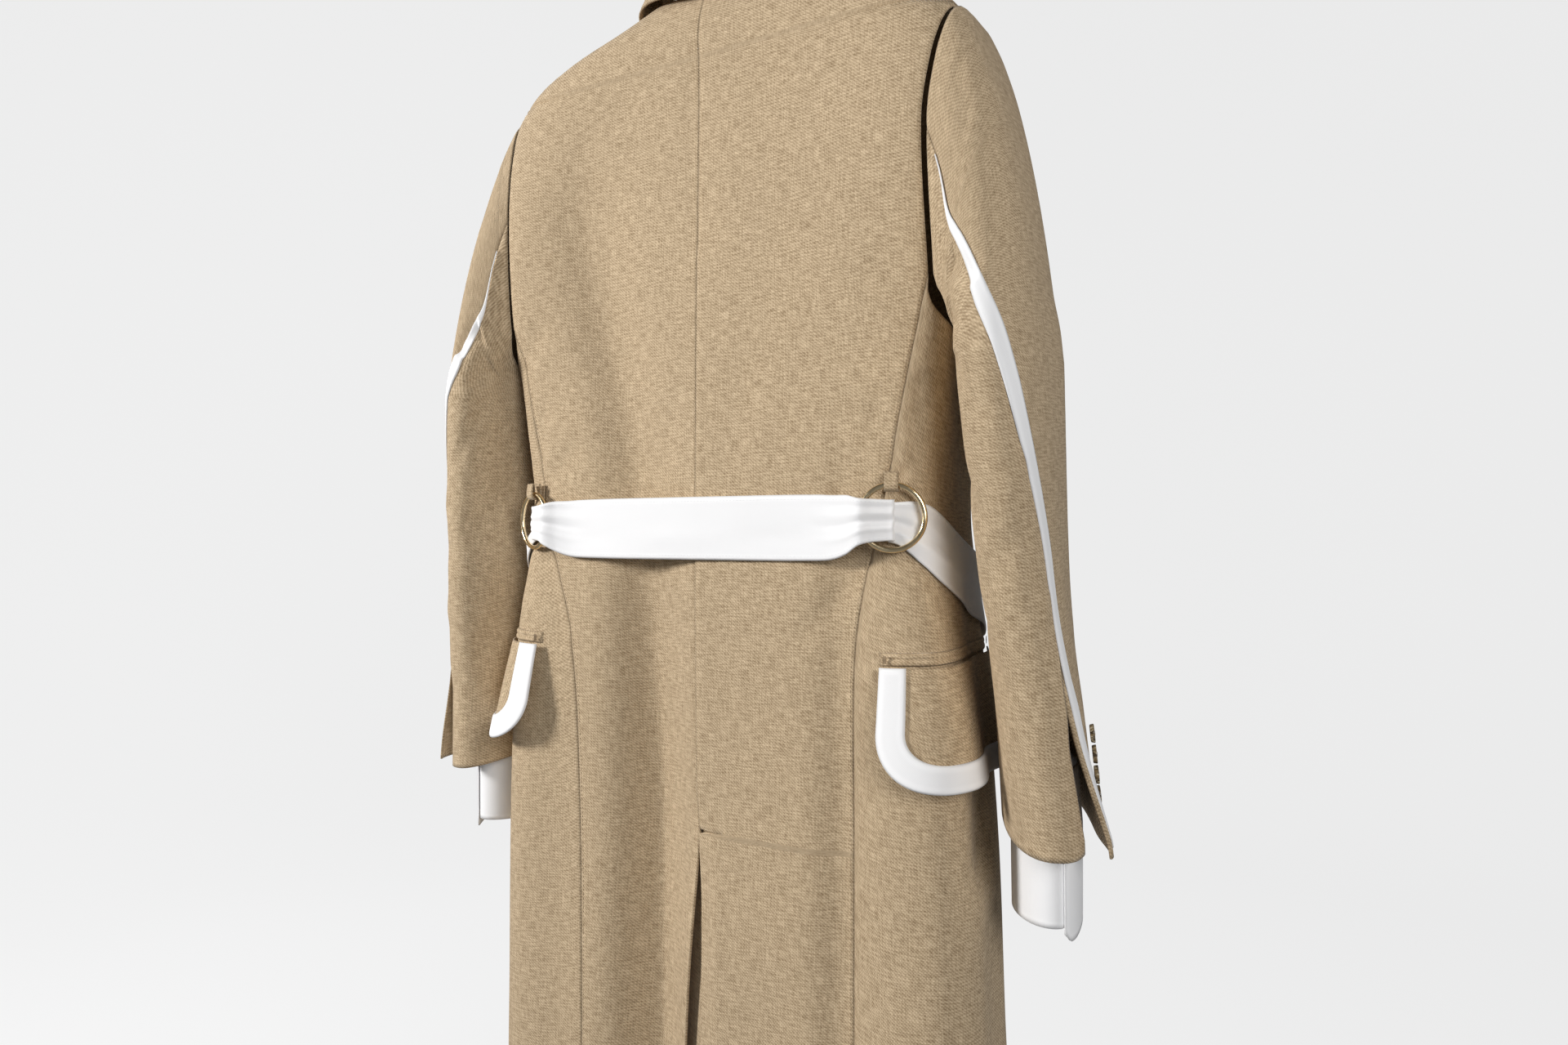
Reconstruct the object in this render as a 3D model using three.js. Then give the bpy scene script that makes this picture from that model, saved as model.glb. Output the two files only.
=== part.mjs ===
// A long belted frock coat, hanging hollow as it does when worn. Millimetres, +Z up, the front towards -Y,
// the wearer's left towards +X. The origin is the middle of the neck, level with the neck end of the
// shoulders.
import * as THREE from "three";

// ---------- driving dimensions, mm ----------
const CLOTH = 2.2; // wall of the lined coating
const COTTON = 1.4; // wall of the white cotton
const SEAM = 0.4; // clear gap kept at every seam
const HEM = -1050;
const VENT_TOP = -675;
const POCKET = -527; // top of the pocket welts
const BELT = -438; // middle of the half belt, which sags a little from the rings
const RING_Z = -431;
const BELT_WIDTH = 49;
const ARMPIT = -306;
const SHOULDER_TIP = -67;
const NAPE = -10;
const BREAK = -262; // where the lapels start to roll
const OVERLAP = 24; // each front passes the middle by this much
const QUARTER = Math.PI / 2;

const TAN = new THREE.MeshStandardMaterial({ color: 0xb0946a, roughness: 0.9 });
const WHITE = new THREE.MeshStandardMaterial({ color: 0xf5f5f7, roughness: 0.8 });
const GOLD = new THREE.MeshStandardMaterial({ color: 0xd9b873, roughness: 0.2, metalness: 1 });
const HORN = new THREE.MeshStandardMaterial({ color: 0x7d6a4c, roughness: 0.35 });

const coat = new THREE.Group();
coat.name = "frock_coat";

// ---------- small helpers ----------
const lerp = THREE.MathUtils.lerp;
const clamp = THREE.MathUtils.clamp;
const ease = (t, low = 0, high = 1) => THREE.MathUtils.smoothstep(t, low, high);
const bump = (t, width) => Math.exp(-((t / width) ** 2));
const steps = (count) => Array.from({ length: count + 1 }, (_, i) => i / count);
const vector = (x, y, z) => new THREE.Vector3(x, y, z);

// A smooth curve through hand-set [place, size] stations, in rising order of place.
function through(...stations) {
  const at = stations.map((s) => s[0]);
  const size = stations.map((s) => s[1]);
  const last = at.length - 1;
  const slope = (i) => {
    const a = Math.max(i - 1, 0);
    const b = Math.min(i + 1, last);
    return (size[b] - size[a]) / (at[b] - at[a]);
  };
  return (place) => {
    const p = clamp(place, at[0], at[last]);
    let i = 0;
    while (i < last - 1 && p > at[i + 1]) i += 1;
    const h = at[i + 1] - at[i];
    const t = (p - at[i]) / h;
    const u = 1 - t;
    const ends = size[i] * (1 + 2 * t) * u * u + size[i + 1] * t * t * (3 - 2 * t);
    return ends + h * t * u * (slope(i) * u - slope(i + 1) * t);
  };
}

// ---------- the form of the body: a stack of rounded-box sections ----------
const halfWidth = through(
  [HEM, 226], [-835, 216], [VENT_TOP, 212], [POCKET, 202], [-431, 190], [-340, 198], [-262, 209],
  [-158, 213], [-95, 214], [SHOULDER_TIP, 203], [-50, 189], [-36, 164], [-20, 118], [0, 78],
);
const backDepth = through(
  [HEM, 92], [-835, 88], [VENT_TOP, 85], [POCKET, 85], [-431, 84], [-262, 80], [-158, 77],
  [-90, 75], [SHOULDER_TIP, 75], [-36, 73], [0, 60],
);
const frontDepth = through(
  [HEM, 118], [-835, 108], [VENT_TOP, 98], [POCKET, 90], [-431, 84], [-262, 98], [-158, 92],
  [-90, 78], [SHOULDER_TIP, 66], [0, 58],
);
const backBox = through([HEM, 6], [VENT_TOP, 7.5], [-158, 7.5], [-90, 6.5], [-36, 4.6], [0, 2.4]);
const frontBox = through([HEM, 2.5], [-90, 2.5], [SHOULDER_TIP, 2.3], [0, 2]);

// Folds and ridges of the back: where each runs (x by height), how far it stands out, and how wide it is
// towards the middle and away from it.
const FOLDS = [
  {
    x: through([HEM, 66], [VENT_TOP, 60], [-450, 60], [-375, 63], [-195, 112]),
    out: through([HEM, -17], [VENT_TOP, -14], [-450, -8], [-375, -6], [-195, -2.5], [-110, 0]),
    inner: 22,
    outer: 38,
  },
  {
    x: through([HEM, -104], [VENT_TOP, -108], [-440, -112], [-360, -125]),
    out: through([HEM, -9], [VENT_TOP, -7], [-440, -4], [-330, 0]),
    inner: 30,
    outer: 16,
  },
  {
    x: through([HEM, 190], [POCKET, 186], [-262, 196], [-110, 200]),
    out: through([HEM, 8], [VENT_TOP, 10], [POCKET, 6], [-431, 0], [-300, 3], [-160, 4], [-90, 0]),
    inner: 34,
    outer: 26,
  },
];
const bladeOut = through([-310, 0], [-240, 8], [-158, 13], [-90, 7], [-40, 0]);
function foldAt(x, z) {
  const blades = bladeOut(z) * bump(Math.abs(x) - 185, 75);
  return FOLDS.reduce((sum, fold) => {
    if (Math.sign(x) !== Math.sign(fold.x(z))) return sum;
    const away = Math.abs(x) - Math.abs(fold.x(z));
    return sum + fold.out(z) * bump(away, away < 0 ? fold.inner : fold.outer);
  }, blades);
}

// The body's outer surface. angle 0 is the middle of the back, a quarter turn the side, a half turn the
// middle of the front; side is +1 for the wearer's left and -1 for the right; out moves off the cloth.
function bare(side, angle, z) {
  const s = Math.sin(angle);
  const c = Math.cos(angle);
  const n = c > 0 ? backBox(z) : frontBox(z);
  const depth = c > 0 ? backDepth(z) : frontDepth(z);
  const reach = (Math.abs(s / halfWidth(z)) ** n + Math.abs(c / depth) ** n) ** (-1 / n);
  return vector(side * reach * s, reach * c, z);
}
function outward(side, angle, z) {
  const d = 0.02;
  const around = bare(side, angle + d, z).sub(bare(side, angle - d, z));
  const high = Math.min(z + 3, 0);
  const up = bare(side, angle, high).sub(bare(side, angle, high - 6));
  return around.cross(up).multiplyScalar(-side).normalize();
}
function onBody(side, angle, z, out = 0) {
  const p = bare(side, angle, z);
  const fold = foldAt(p.x, z) * ease(Math.cos(angle), 0, 0.25);
  return p.addScaledVector(outward(side, angle, z), fold + out);
}
// The angle at which a section reaches a given x, on the back or on the front, or a given y.
function angleAtX(x, z, front = false) {
  const n = front ? frontBox(z) : backBox(z);
  const depth = front ? -frontDepth(z) : backDepth(z);
  const share = clamp(Math.abs(x) / halfWidth(z), 0, 1);
  return Math.atan2(x, depth * (1 - share ** n) ** (1 / n));
}
function angleAtY(y, z) {
  const n = y > 0 ? backBox(z) : frontBox(z);
  const share = clamp(Math.abs(y) / (y > 0 ? backDepth(z) : frontDepth(z)), 0, 1);
  return Math.atan2(halfWidth(z) * (1 - share ** n) ** (1 / n), y);
}

// ---------- seams, as angles by height ----------
const BACK_SEAM_TOP = -262;
const FRONT_SEAM_TOP = -280;
const backSeamX = through(
  [HEM, 126], [-835, 125], [-600, 128], [POCKET, 133], [-470, 146], [BELT, 157], [-345, 175],
  [BACK_SEAM_TOP, 193],
);
const seamSwing = through([HEM, -9], [-600, -6], [BELT, 0]); // the skirt hangs a little towards the right
const armBackX = through([BACK_SEAM_TOP, 193], [-158, 190], [-110, 195], [-84, 200], [SHOULDER_TIP, 203]);
const armFrontX = through([FRONT_SEAM_TOP, 200], [-200, 176], [-125, 174], [-85, 190], [SHOULDER_TIP, 203]);
const frontSeamY = through([HEM, -64], [POCKET, -52], [-425, -44], [FRONT_SEAM_TOP, -32]);
function backEdge(z, side = 0) {
  if (z >= SHOULDER_TIP) return QUARTER;
  return angleAtX(z > BACK_SEAM_TOP ? armBackX(z) : backSeamX(z) + side * seamSwing(z), z);
}
function frontSideEdge(z) {
  if (z >= SHOULDER_TIP) return QUARTER;
  return z > FRONT_SEAM_TOP ? angleAtX(armFrontX(z), z, true) : angleAtY(frontSeamY(z), z);
}
const BACK_CORNER = backEdge(BACK_SEAM_TOP);
const FRONT_CORNER = frontSideEdge(FRONT_SEAM_TOP);
// The armhole under the arm, between the two seams: its height at an angle, and its angle at a height.
function underarmZ(angle) {
  const [top, corner] = angle < QUARTER ? [BACK_SEAM_TOP, BACK_CORNER] : [FRONT_SEAM_TOP, FRONT_CORNER];
  const w = clamp((QUARTER - angle) / (QUARTER - corner), 0, 1);
  return top - (top - ARMPIT) * Math.sqrt(1 - w * w);
}
function armholeAngle(z, front) {
  const top = front ? FRONT_SEAM_TOP : BACK_SEAM_TOP;
  if (z >= top) return front ? frontSideEdge(z) : backEdge(z);
  const u = clamp((top - z) / (top - ARMPIT), 0, 1);
  return QUARTER - (QUARTER - (front ? FRONT_CORNER : BACK_CORNER)) * Math.sqrt(1 - u * u);
}
// The edge of a front: straight below the break, then along the lapel's roll line to the neck.
const rollX = through([BREAK, -OVERLAP], [-200, 22], [-100, 46], [0, 66]);
function frontEdge(z) {
  const x = z < BREAK ? -OVERLAP : rollX(z);
  return x < 0 ? 2 * Math.PI - angleAtX(-x, z, true) : angleAtX(x, z, true);
}

// ---------- solids from grids of points ----------
// A closed wall between two faces, each a grid[row][column] of points; wrap closes its columns into a ring.
function wall(outerGrid, innerGrid, { wrap = false, flip = false } = {}) {
  const rows = outerGrid.length;
  const cols = outerGrid[0].length;
  const half = rows * cols;
  const faces = [];
  const quad = (a, b, c, d) => faces.push(...(flip ? [a, c, b, a, d, c] : [a, b, c, a, c, d]));
  const index = (i, j) => i * cols + (j % cols);
  const spans = wrap ? cols : cols - 1;
  const rim = (a, b) => quad(b, a, a + half, b + half);
  for (let j = 0; j < spans; j += 1) {
    for (let i = 0; i < rows - 1; i += 1) {
      const [a, b, c, d] = [index(i, j), index(i, j + 1), index(i + 1, j + 1), index(i + 1, j)];
      quad(a, b, c, d);
      quad(a + half, d + half, c + half, b + half);
    }
    rim(index(0, j), index(0, j + 1));
    rim(index(rows - 1, j + 1), index(rows - 1, j));
  }
  for (let i = 0; i < rows - 1 && !wrap; i += 1) {
    rim(index(i + 1, 0), index(i, 0));
    rim(index(i, cols - 1), index(i + 1, cols - 1));
  }
  const geometry = new THREE.BufferGeometry();
  const points = [outerGrid, innerGrid].flat(2).flatMap((p) => [p.x, p.y, p.z]);
  geometry.setAttribute("position", new THREE.Float32BufferAttribute(points, 3));
  geometry.setIndex(faces);
  return geometry;
}
function add(name, geometry, material) {
  const mesh = new THREE.Mesh(geometry, material);
  mesh.name = name;
  coat.add(mesh);
  return mesh;
}
const SIDES = [["left", 1], ["right", -1]];

// A patch of cloth on the body: where(row, t) gives the angle and height of each point, and how far it is
// moved off the body.
function patch(side, rows, cols, where, thick = CLOTH) {
  const grid = (inwards) =>
    rows.map((row) =>
      steps(cols).map((t) => {
        const [angle, z, out = 0] = where(row, t);
        return onBody(side, angle, z, out - inwards);
      }),
    );
  return wall(grid(0), grid(thick), { flip: side > 0 });
}
// The turn that a gap makes at a place on a section.
function gapTurn(angle, z, gap = SEAM / 2) {
  const p = bare(1, angle, z);
  return gap / Math.hypot(p.x, p.y);
}
// A body panel between two seams, from angle low(z) to high(z).
function panel(side, heights, cols, low, high, out = () => 0, rise = () => 0) {
  return patch(side, heights, cols, (level, t) => {
    const z = level + rise(t) * ease(level, SHOULDER_TIP, 0);
    const a = lerp(low(z) + gapTurn(low(z), z), high(z) - gapTurn(high(z), z), t);
    return [a, z, out(bare(side, a, z).x * side, z)];
  });
}

const SKIRT = [
  HEM, -950, -860, -780, -715, VENT_TOP - 4, VENT_TOP, -630, -580, POCKET, -485, -458, BELT,
  -400, -365, -330, -300,
];
const CHEST = [BACK_SEAM_TOP, -220, -178, -138, -105, -84];
const SHOULDER = [SHOULDER_TIP, -50, -36, -20, 0];

// ---------- back: two halves, a centre seam, and a vent below it ----------
const ventLift = (z) => 4 * ease(VENT_TOP - z, 0, 120);
const ventDrop = (z) => 4 * ease(VENT_TOP + 38 - z, 0, 38) + 3 * ease(VENT_TOP - z, 0, 60);
const ventSpread = through([HEM, 30], [-835, 17], [VENT_TOP, 0]); // how far the upper edge has swung aside
const VENT_UNDER = 42; // how far the lower edge runs on under it
const napeDip = (t) => NAPE * (1 - ease(t));
add(
  "back_left",
  panel(1, [...SKIRT, ...CHEST, ...SHOULDER], 7, (z) => (z < VENT_TOP ? angleAtX(ventSpread(z), z) : 0),
    (z) => backEdge(z, 1), (x, z) => ventLift(z) * bump(x, 55), napeDip),
  TAN,
);
add(
  "back_right",
  panel(-1, [...SKIRT, ...CHEST, ...SHOULDER], 7, (z) => (z < VENT_TOP ? angleAtX(-VENT_UNDER, z) : 0),
    (z) => backEdge(z, -1), (x, z) => -ventDrop(z) * (1 - ease(x, 0, 34)), napeDip),
  TAN,
);

// ---------- side bodies and fronts ----------
function sideBody(side) {
  return patch(side, [...SKIRT, 0], 5, (level, t) => {
    const top = underarmZ(lerp(BACK_CORNER, FRONT_CORNER, t)) - SEAM;
    const z = Math.min(level, level ? top - 8 : top);
    const low = backEdge(z, side);
    const high = frontSideEdge(z);
    return [lerp(low + gapTurn(low, z), high - gapTurn(high, z), t), z];
  });
}
const FRONT_LIFT = CLOTH + 1.2; // the left front laps over the right
for (const [word, side] of SIDES) {
  const lift = (x, z) => (side > 0 ? FRONT_LIFT * (1 - ease(x, 30, 62)) * ease(BREAK + 62 - z, 0, 24) : 0);
  add(`side_body_${word}`, sideBody(side), TAN);
  add(
    `front_${word}`,
    panel(side, [...SKIRT, FRONT_SEAM_TOP, ...CHEST, ...SHOULDER], 7, frontSideEdge, frontEdge, lift),
    TAN,
  );
}

// ---------- sleeves: rings that leave the armhole, turn down and hang flat-sided ----------
const BICEPS = -322;
const SLEEVE_HEM = -645;
const sleeveX = through([SLEEVE_HEM, 260], [-560, 255], [-470, 248], [BICEPS, 241]);
const sleeveY = through([SLEEVE_HEM, 24], [-560, 28], [-470, 36], [BICEPS, 42]);
const sleeveWide = through([SLEEVE_HEM, 31], [-560, 30], [-470, 28], [BICEPS, 29]);
const sleeveDeep = through([SLEEVE_HEM, 60], [-560, 62], [-470, 65], [BICEPS, 68]);
// The back of the sleeve turns outwards towards the hem.
const sleeveTwist = through([SLEEVE_HEM, 0.42], [-560, 0.32], [-470, 0.16], [BICEPS, 0]);
// A point off the middle of the sleeve, by how far outwards and how far back it lies before the twist.
function offSleeveMiddle(side, outwards, back, z) {
  const twist = sleeveTwist(z) * (side > 0 ? 0.45 : 1);
  const c = Math.cos(twist);
  const s = Math.sin(twist);
  return vector(side * (sleeveX(z) + outwards * c + back * s), sleeveY(z) + back * c - outwards * s, z);
}
// turn 0 is the outer side of the sleeve, a quarter turn its back, a half turn its inner side.
function sleeveRing(side, turn, z) {
  const round = (v) => Math.sign(v) * Math.abs(v) ** 0.85;
  const outwards = sleeveWide(z) * round(Math.cos(turn));
  return offSleeveMiddle(side, outwards, sleeveDeep(z) * round(Math.sin(turn)), z);
}
const hemHeight = (turn) => SLEEVE_HEM - 11 * Math.sin(turn);
function armholePoint(side, turn) {
  const z = lerp(ARMPIT, SHOULDER_TIP, (1 + Math.cos(turn)) / 2);
  return onBody(side, armholeAngle(z, Math.sin(turn) < 0), z);
}
// along 0 is the armhole, 1 the biceps, 2 the hem of the sleeve.
function bareSleeve(side, turn, along) {
  if (along > 1) return sleeveRing(side, turn, lerp(BICEPS, hemHeight(turn), along - 1));
  const start = armholePoint(side, turn);
  const end = sleeveRing(side, turn, BICEPS);
  start.x += side * 3.4;
  const knee = vector(lerp(start.x, end.x, 0.7), lerp(start.y, end.y, 0.7), lerp(start.z, end.z, 0.26));
  return new THREE.QuadraticBezierCurve3(start, knee, end).getPoint(along);
}
function onSleeve(side, turn, along, out = 0) {
  const d = 0.02;
  const p = bareSleeve(side, turn, along);
  const around = bareSleeve(side, turn + d, along).sub(bareSleeve(side, turn - d, along));
  const above = bareSleeve(side, turn, Math.max(along - d, 0));
  const down = bareSleeve(side, turn, Math.min(along + d, 2)).sub(above);
  return p.addScaledVector(down.cross(around).normalize(), side * out);
}
const seamTurn = through(
  [0, 1.38], [0.2, 1.5], [0.4, 1.62], [0.6, 1.54], [0.85, 1.36], [1, 1.11], [1.1, 0.93], [1.3, 0.64],
  [1.5, 0.62], [1.7, 0.98], [2, 0.88],
);
// The striped back seam lies a little further back on the left sleeve.
const backTurn = (along, side) => seamTurn(along) + (side > 0 ? 0.2 * bump(along - 0.6, 0.5) : 0);
const foreTurn = through([0, -1.5], [1, -1.7], [2, -1.8]);
const SLEEVE_ROWS = [0, 0.12, 0.28, 0.46, 0.64, 0.82, 1, 1.14, 1.3, 1.46, 1.62, 1.8, 2];
// The turn that spans a length round the sleeve.
function spanTurn(side, turn, along, length) {
  const d = 0.01;
  return (length * 2 * d) / bareSleeve(side, turn + d, along).distanceTo(bareSleeve(side, turn - d, along));
}
function sleevePatch(side, rows, cols, from, to, out = () => 0, thick = CLOTH) {
  const grid = (inwards) =>
    rows.map((along) =>
      steps(cols).map((t) => {
        const [first, last] = [from(along, side), to(along, side)];
        const low = first + spanTurn(side, first, along, SEAM);
        const turn = lerp(low, last - spanTurn(side, last, along, SEAM), t);
        return onSleeve(side, turn, along, out(along, t) - inwards);
      }),
    );
  return wall(grid(0), grid(thick), { flip: side > 0 });
}
for (const [word, side] of SIDES) {
  const onceRound = (along) => foreTurn(along) + 4 * QUARTER;
  add(`sleeve_top_${word}`, sleevePatch(side, SLEEVE_ROWS, 9, foreTurn, backTurn), TAN);
  add(`sleeve_under_${word}`, sleevePatch(side, SLEEVE_ROWS, 9, backTurn, onceRound), TAN);
}

// The white stripe let into the back seam: it starts from a point and widens to the elbow.
const STRIPE_TOP = 0.14;
const STRIPE_END = 1.98;
const stripeWidth = through([STRIPE_TOP, 2], [0.5, 7], [1, 12], [1.3, 13.5], [1.74, 9], [STRIPE_END, 8]);
const STRIPE_ROWS = [STRIPE_TOP, 0.28, 0.46, 0.64, 0.82, 1, 1.14, 1.3, 1.46, 1.62, 1.8, STRIPE_END];
const ON_CLOTH = COTTON + 1.6; // how far the face of an applied white piece stands off
// The turn at a place across the stripe; beside the slit it keeps to the top sleeve.
function stripeTurn(along, side, across) {
  const seam = backTurn(along, side);
  const shift = -ease(along, 1.5, 1.74) * (stripeWidth(along) / 2 + 3.5);
  return seam + spanTurn(side, seam, along, shift + across * stripeWidth(along));
}
for (const [word, side] of SIDES) {
  const from = (along) => stripeTurn(along, side, -0.5);
  const to = (along) => stripeTurn(along, side, 0.5);
  add(`sleeve_stripe_${word}`, sleevePatch(side, STRIPE_ROWS, 2, from, to, () => ON_CLOTH, COTTON), WHITE);
}

// White inner cuffs that show below the sleeves.
const CUFF_ROWS = [-715, -692, -664, -632, -602];
for (const [word, side] of SIDES) {
  const tube = (inwards) =>
    CUFF_ROWS.map((z) =>
      Array.from({ length: 20 }, (_, j) => {
        const turn = (j / 20) * 4 * QUARTER;
        const outwards = (sleeveWide(z) - 6.5 - inwards) * Math.cos(turn);
        return offSleeveMiddle(side, outwards, (41 - inwards) * Math.sin(turn) - 9, z);
      }),
    );
  add(`inner_cuff_${word}`, wall(tube(0), tube(COTTON), { wrap: true, flip: side < 0 }), WHITE);
}

// Round horn buttons, each turned to face out of the cloth.
function button(name, radius, thick, centre, facing) {
  const mesh = add(name, new THREE.CylinderGeometry(radius, radius, thick, 16), HORN);
  mesh.position.copy(centre).addScaledVector(facing, thick / 2 + 1);
  mesh.quaternion.setFromUnitVectors(vector(0, 1, 0), facing);
}
const CUFF_BUTTONS = [1.79, 1.835, 1.88, 1.925];
for (const [word, side] of SIDES) {
  CUFF_BUTTONS.forEach((along, i) => {
    const turn = backTurn(along, side) - 0.75;
    const place = onSleeve(side, turn, along);
    const facing = onSleeve(side, turn, along, 1).sub(place);
    button(`cuff_button_${word}_${i + 1}`, 6.5, 3, place, facing);
  });
}
const FRONT_BUTTONS = [-282, -362, -442];
FRONT_BUTTONS.forEach((z, i) => {
  const place = onBody(1, 2 * QUARTER, z, FRONT_LIFT);
  const facing = onBody(1, 2 * QUARTER, z, FRONT_LIFT + 1).sub(place);
  button(`front_button_${i + 1}`, 11, 4, place, facing);
});

// ---------- lapels and collar ----------
const LAPEL_ROWS = [-226, -206, -178, -138, -105, -84];
const lapelWidth = through([-226, 8], [-178, 48], [-120, 76], [-84, 84]);
for (const [word, side] of SIDES) {
  const where = (level, t) => {
    const z = level === -84 ? level + 34 * t : level;
    const x = rollX(z) + 1 + lapelWidth(z) * (1 - t);
    return [angleAtX(x, z, true), z, CLOTH + 2.8 + (side > 0 ? FRONT_LIFT * ease(-z, 188, 215) : 0)];
  };
  add(`lapel_${word}`, patch(side, LAPEL_ROWS, 4, where), TAN);
}

// The collar: a stand inside the neck, turned down over the shoulders. down 0 is the foot of the stand,
// 0.4 the fold, and 1 the edge of the fall.
const COLLAR_REACH = 2.2; // the angle at which it meets the lapels
const collarOut = through([0, -5], [0.3, -3.5], [0.4, 0], [0.5, 5], [0.75, 12], [1, 18]);
const collarZ = through([0, 2], [0.3, 26], [0.4, 31], [0.5, 28], [0.75, 10], [1, -4]);
function collarPoint(angle, down, out = 0) {
  const foot = bare(1, angle, 0);
  const away = vector(foot.x, foot.y, 0).normalize();
  const drop = 11 * (1 - ease(Math.abs(angle), 0, 1));
  const slope = (collarZ(down + 0.01) - collarZ(down - 0.01)) / 0.02;
  const run = (collarOut(down + 0.01) - collarOut(down - 0.01)) / 0.02;
  const normal = away.clone().multiplyScalar(-slope).add(vector(0, 0, run)).normalize();
  foot.addScaledVector(away, collarOut(down)).z = collarZ(down) - drop;
  return foot.addScaledVector(normal, out);
}
const COLLAR_ROWS = [0.01, 0.2, 0.32, 0.4, 0.48, 0.62, 0.8, 0.99];
const collarAngle = (t) => lerp(-COLLAR_REACH, COLLAR_REACH, t);
const collarFace = (inwards) =>
  COLLAR_ROWS.map((down) => steps(16).map((t) => collarPoint(collarAngle(t), down, -inwards)));
add("collar", wall(collarFace(0), collarFace(CLOTH)), TAN);

// ---------- pockets: two jets and a flap with a white border, wrapped round the side ----------
const POCKET_LENGTH = 150;
const WELT = 8;
const FLAP_DROP = 84;
const FLAP_ROUND = 40; // radius of the flap's back corner
const BORDER = 18;
const pocketStart = angleAtX(160, POCKET);
// The angle at a distance along the pocket, from its back end.
function alongPocket(distance) {
  const step = distance < 0 ? -0.01 : 0.01;
  let angle = pocketStart;
  let left = Math.abs(distance);
  let next = bare(1, angle, POCKET).distanceTo(bare(1, angle + step, POCKET));
  while (left > next) {
    angle += step;
    left -= next;
    next = bare(1, angle, POCKET).distanceTo(bare(1, angle + step, POCKET));
  }
  return angle + (step * left) / next;
}
const pocketRise = (distance) => 4 * (distance / POCKET_LENGTH);
// The flap stands away from the coat as it falls, most at its back corner.
const flapOut = (distance, drop) => 5 + (drop / FLAP_DROP) * lerp(16, 6, ease(distance, 20, 110));
function onFlap(distance, drop) {
  const z = POCKET - WELT - 1.5 + pocketRise(distance) - drop;
  return [alongPocket(distance), z, flapOut(distance, drop)];
}
// The depth of a flap's lower edge at a distance along it, for a round corner that starts at inset.
function lowerEdge(distance, inset) {
  const away = Math.max(FLAP_ROUND - distance, 0);
  return FLAP_DROP - FLAP_ROUND + Math.sqrt(Math.max((FLAP_ROUND - inset) ** 2 - away ** 2, 0));
}
// A point of the border's path: down the back edge, round the corner and along the bottom.
function borderPoint(path, inset) {
  const straight = FLAP_DROP - FLAP_ROUND;
  const arc = FLAP_ROUND * QUARTER;
  if (path < straight) return [inset, path];
  const turn = (path - straight) / FLAP_ROUND;
  if (path > straight + arc) return [FLAP_ROUND + path - straight - arc, FLAP_DROP - inset];
  const radius = FLAP_ROUND - inset;
  return [FLAP_ROUND - radius * Math.cos(turn), straight + radius * Math.sin(turn)];
}
const BORDER_PATH = FLAP_DROP - FLAP_ROUND + FLAP_ROUND * QUARTER + POCKET_LENGTH - FLAP_ROUND;
const FLAP_INSET = BORDER + 2 * SEAM; // the flap's own cloth starts here, inside its border
const across = steps(8).map((t) => lerp(FLAP_INSET, POCKET_LENGTH, t * t * 0.4 + t * 0.6));
for (const [word, side] of SIDES) {
  add(
    `pocket_welt_${word}`,
    patch(side, [-WELT, 0], 8, (height, t) => {
      const distance = lerp(-2, POCKET_LENGTH, t);
      return [alongPocket(distance), POCKET + pocketRise(distance) + height, CLOTH + 1.8];
    }),
    TAN,
  );
  add(
    `pocket_flap_${word}`,
    patch(side, [1, 0.75, 0.5, 0.25, 0], 8, (v, t) => {
      const distance = across[Math.round(t * 8)];
      return onFlap(distance, v * (lowerEdge(distance, FLAP_INSET) - SEAM));
    }),
    TAN,
  );
  add(
    `flap_border_${word}`,
    patch(side, [0, BORDER], 14, (inset, t) => onFlap(...borderPoint(t * BORDER_PATH, inset))),
    WHITE,
  );
}

// ---------- the half belt: a white sash through two gold rings, tied in front ----------
const RING_X = 169.5;
const RING_Y = 84.5;
const RING_RADIUS = 23;
const WIRE = 2;
const RING_LEAN = 0.35; // the turn of the ring's plane away from the back
const PINCHED = 29; // width of the sash where it goes through a ring
for (const [word, side] of SIDES) {
  const ring = add(`ring_${word}`, new THREE.TorusGeometry(RING_RADIUS, WIRE, 8, 28), GOLD);
  ring.rotation.set(QUARTER, 0, -side * RING_LEAN, "ZYX");
  ring.position.set(side * RING_X, RING_Y, RING_Z);
}
// The tab is a folded strip of cloth that goes down outside the wire, under it and up again.
const TAB = [
  [3.8, 13], [4.8, 5], [4.8, 0], [3.4, -3.6], [0, -5.2], [-3.4, -3.6], [-4.8, 0], [-4.8, 5], [-3.8, 13],
];
for (const [word, side] of SIDES) {
  const run = vector(side * Math.cos(RING_LEAN), -Math.sin(RING_LEAN), 0);
  const face = vector(side * Math.sin(RING_LEAN), Math.cos(RING_LEAN), 0);
  const top = vector(side * RING_X, RING_Y, RING_Z + RING_RADIUS);
  const sheet = (share) =>
    TAB.map(([n, z]) => {
      const middle = top.clone().add(vector(0, 0, z > 4 ? z : z * share)).addScaledVector(face, n * share);
      return [-5, 5].map((w) => middle.clone().addScaledVector(run, w));
    });
  add(`ring_tab_${word}`, wall(sheet(1), sheet(0.62), { flip: side < 0 }), TAN);
}
const beltY = through([0, 89], [90, 89], [120, 90], [136, 93], [149, 98], [158, 93], [167, 86]);
const beltWidth = through([0, BELT_WIDTH], [120, BELT_WIDTH - 2], [150, PINCHED + 5], [167, PINCHED]);
const BELT_X = [0, 25, 50, 75, 100, 120, 134, 144, 152, 159, 165.6];
const beltStations = [...BELT_X.slice(1).reverse().map((x) => -x), ...BELT_X];
const beltFace = (inwards) =>
  [-0.5, 0, 0.5].map((v) =>
    beltStations.map((x) => {
      const z = lerp(BELT, RING_Z - 2, ease(Math.abs(x), 120, 160)) + v * beltWidth(Math.abs(x));
      return vector(x, beltY(Math.abs(x)) - inwards, z);
    }),
  );
add("belt_back", wall(beltFace(0), beltFace(COTTON), { flip: true }), WHITE);
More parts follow.
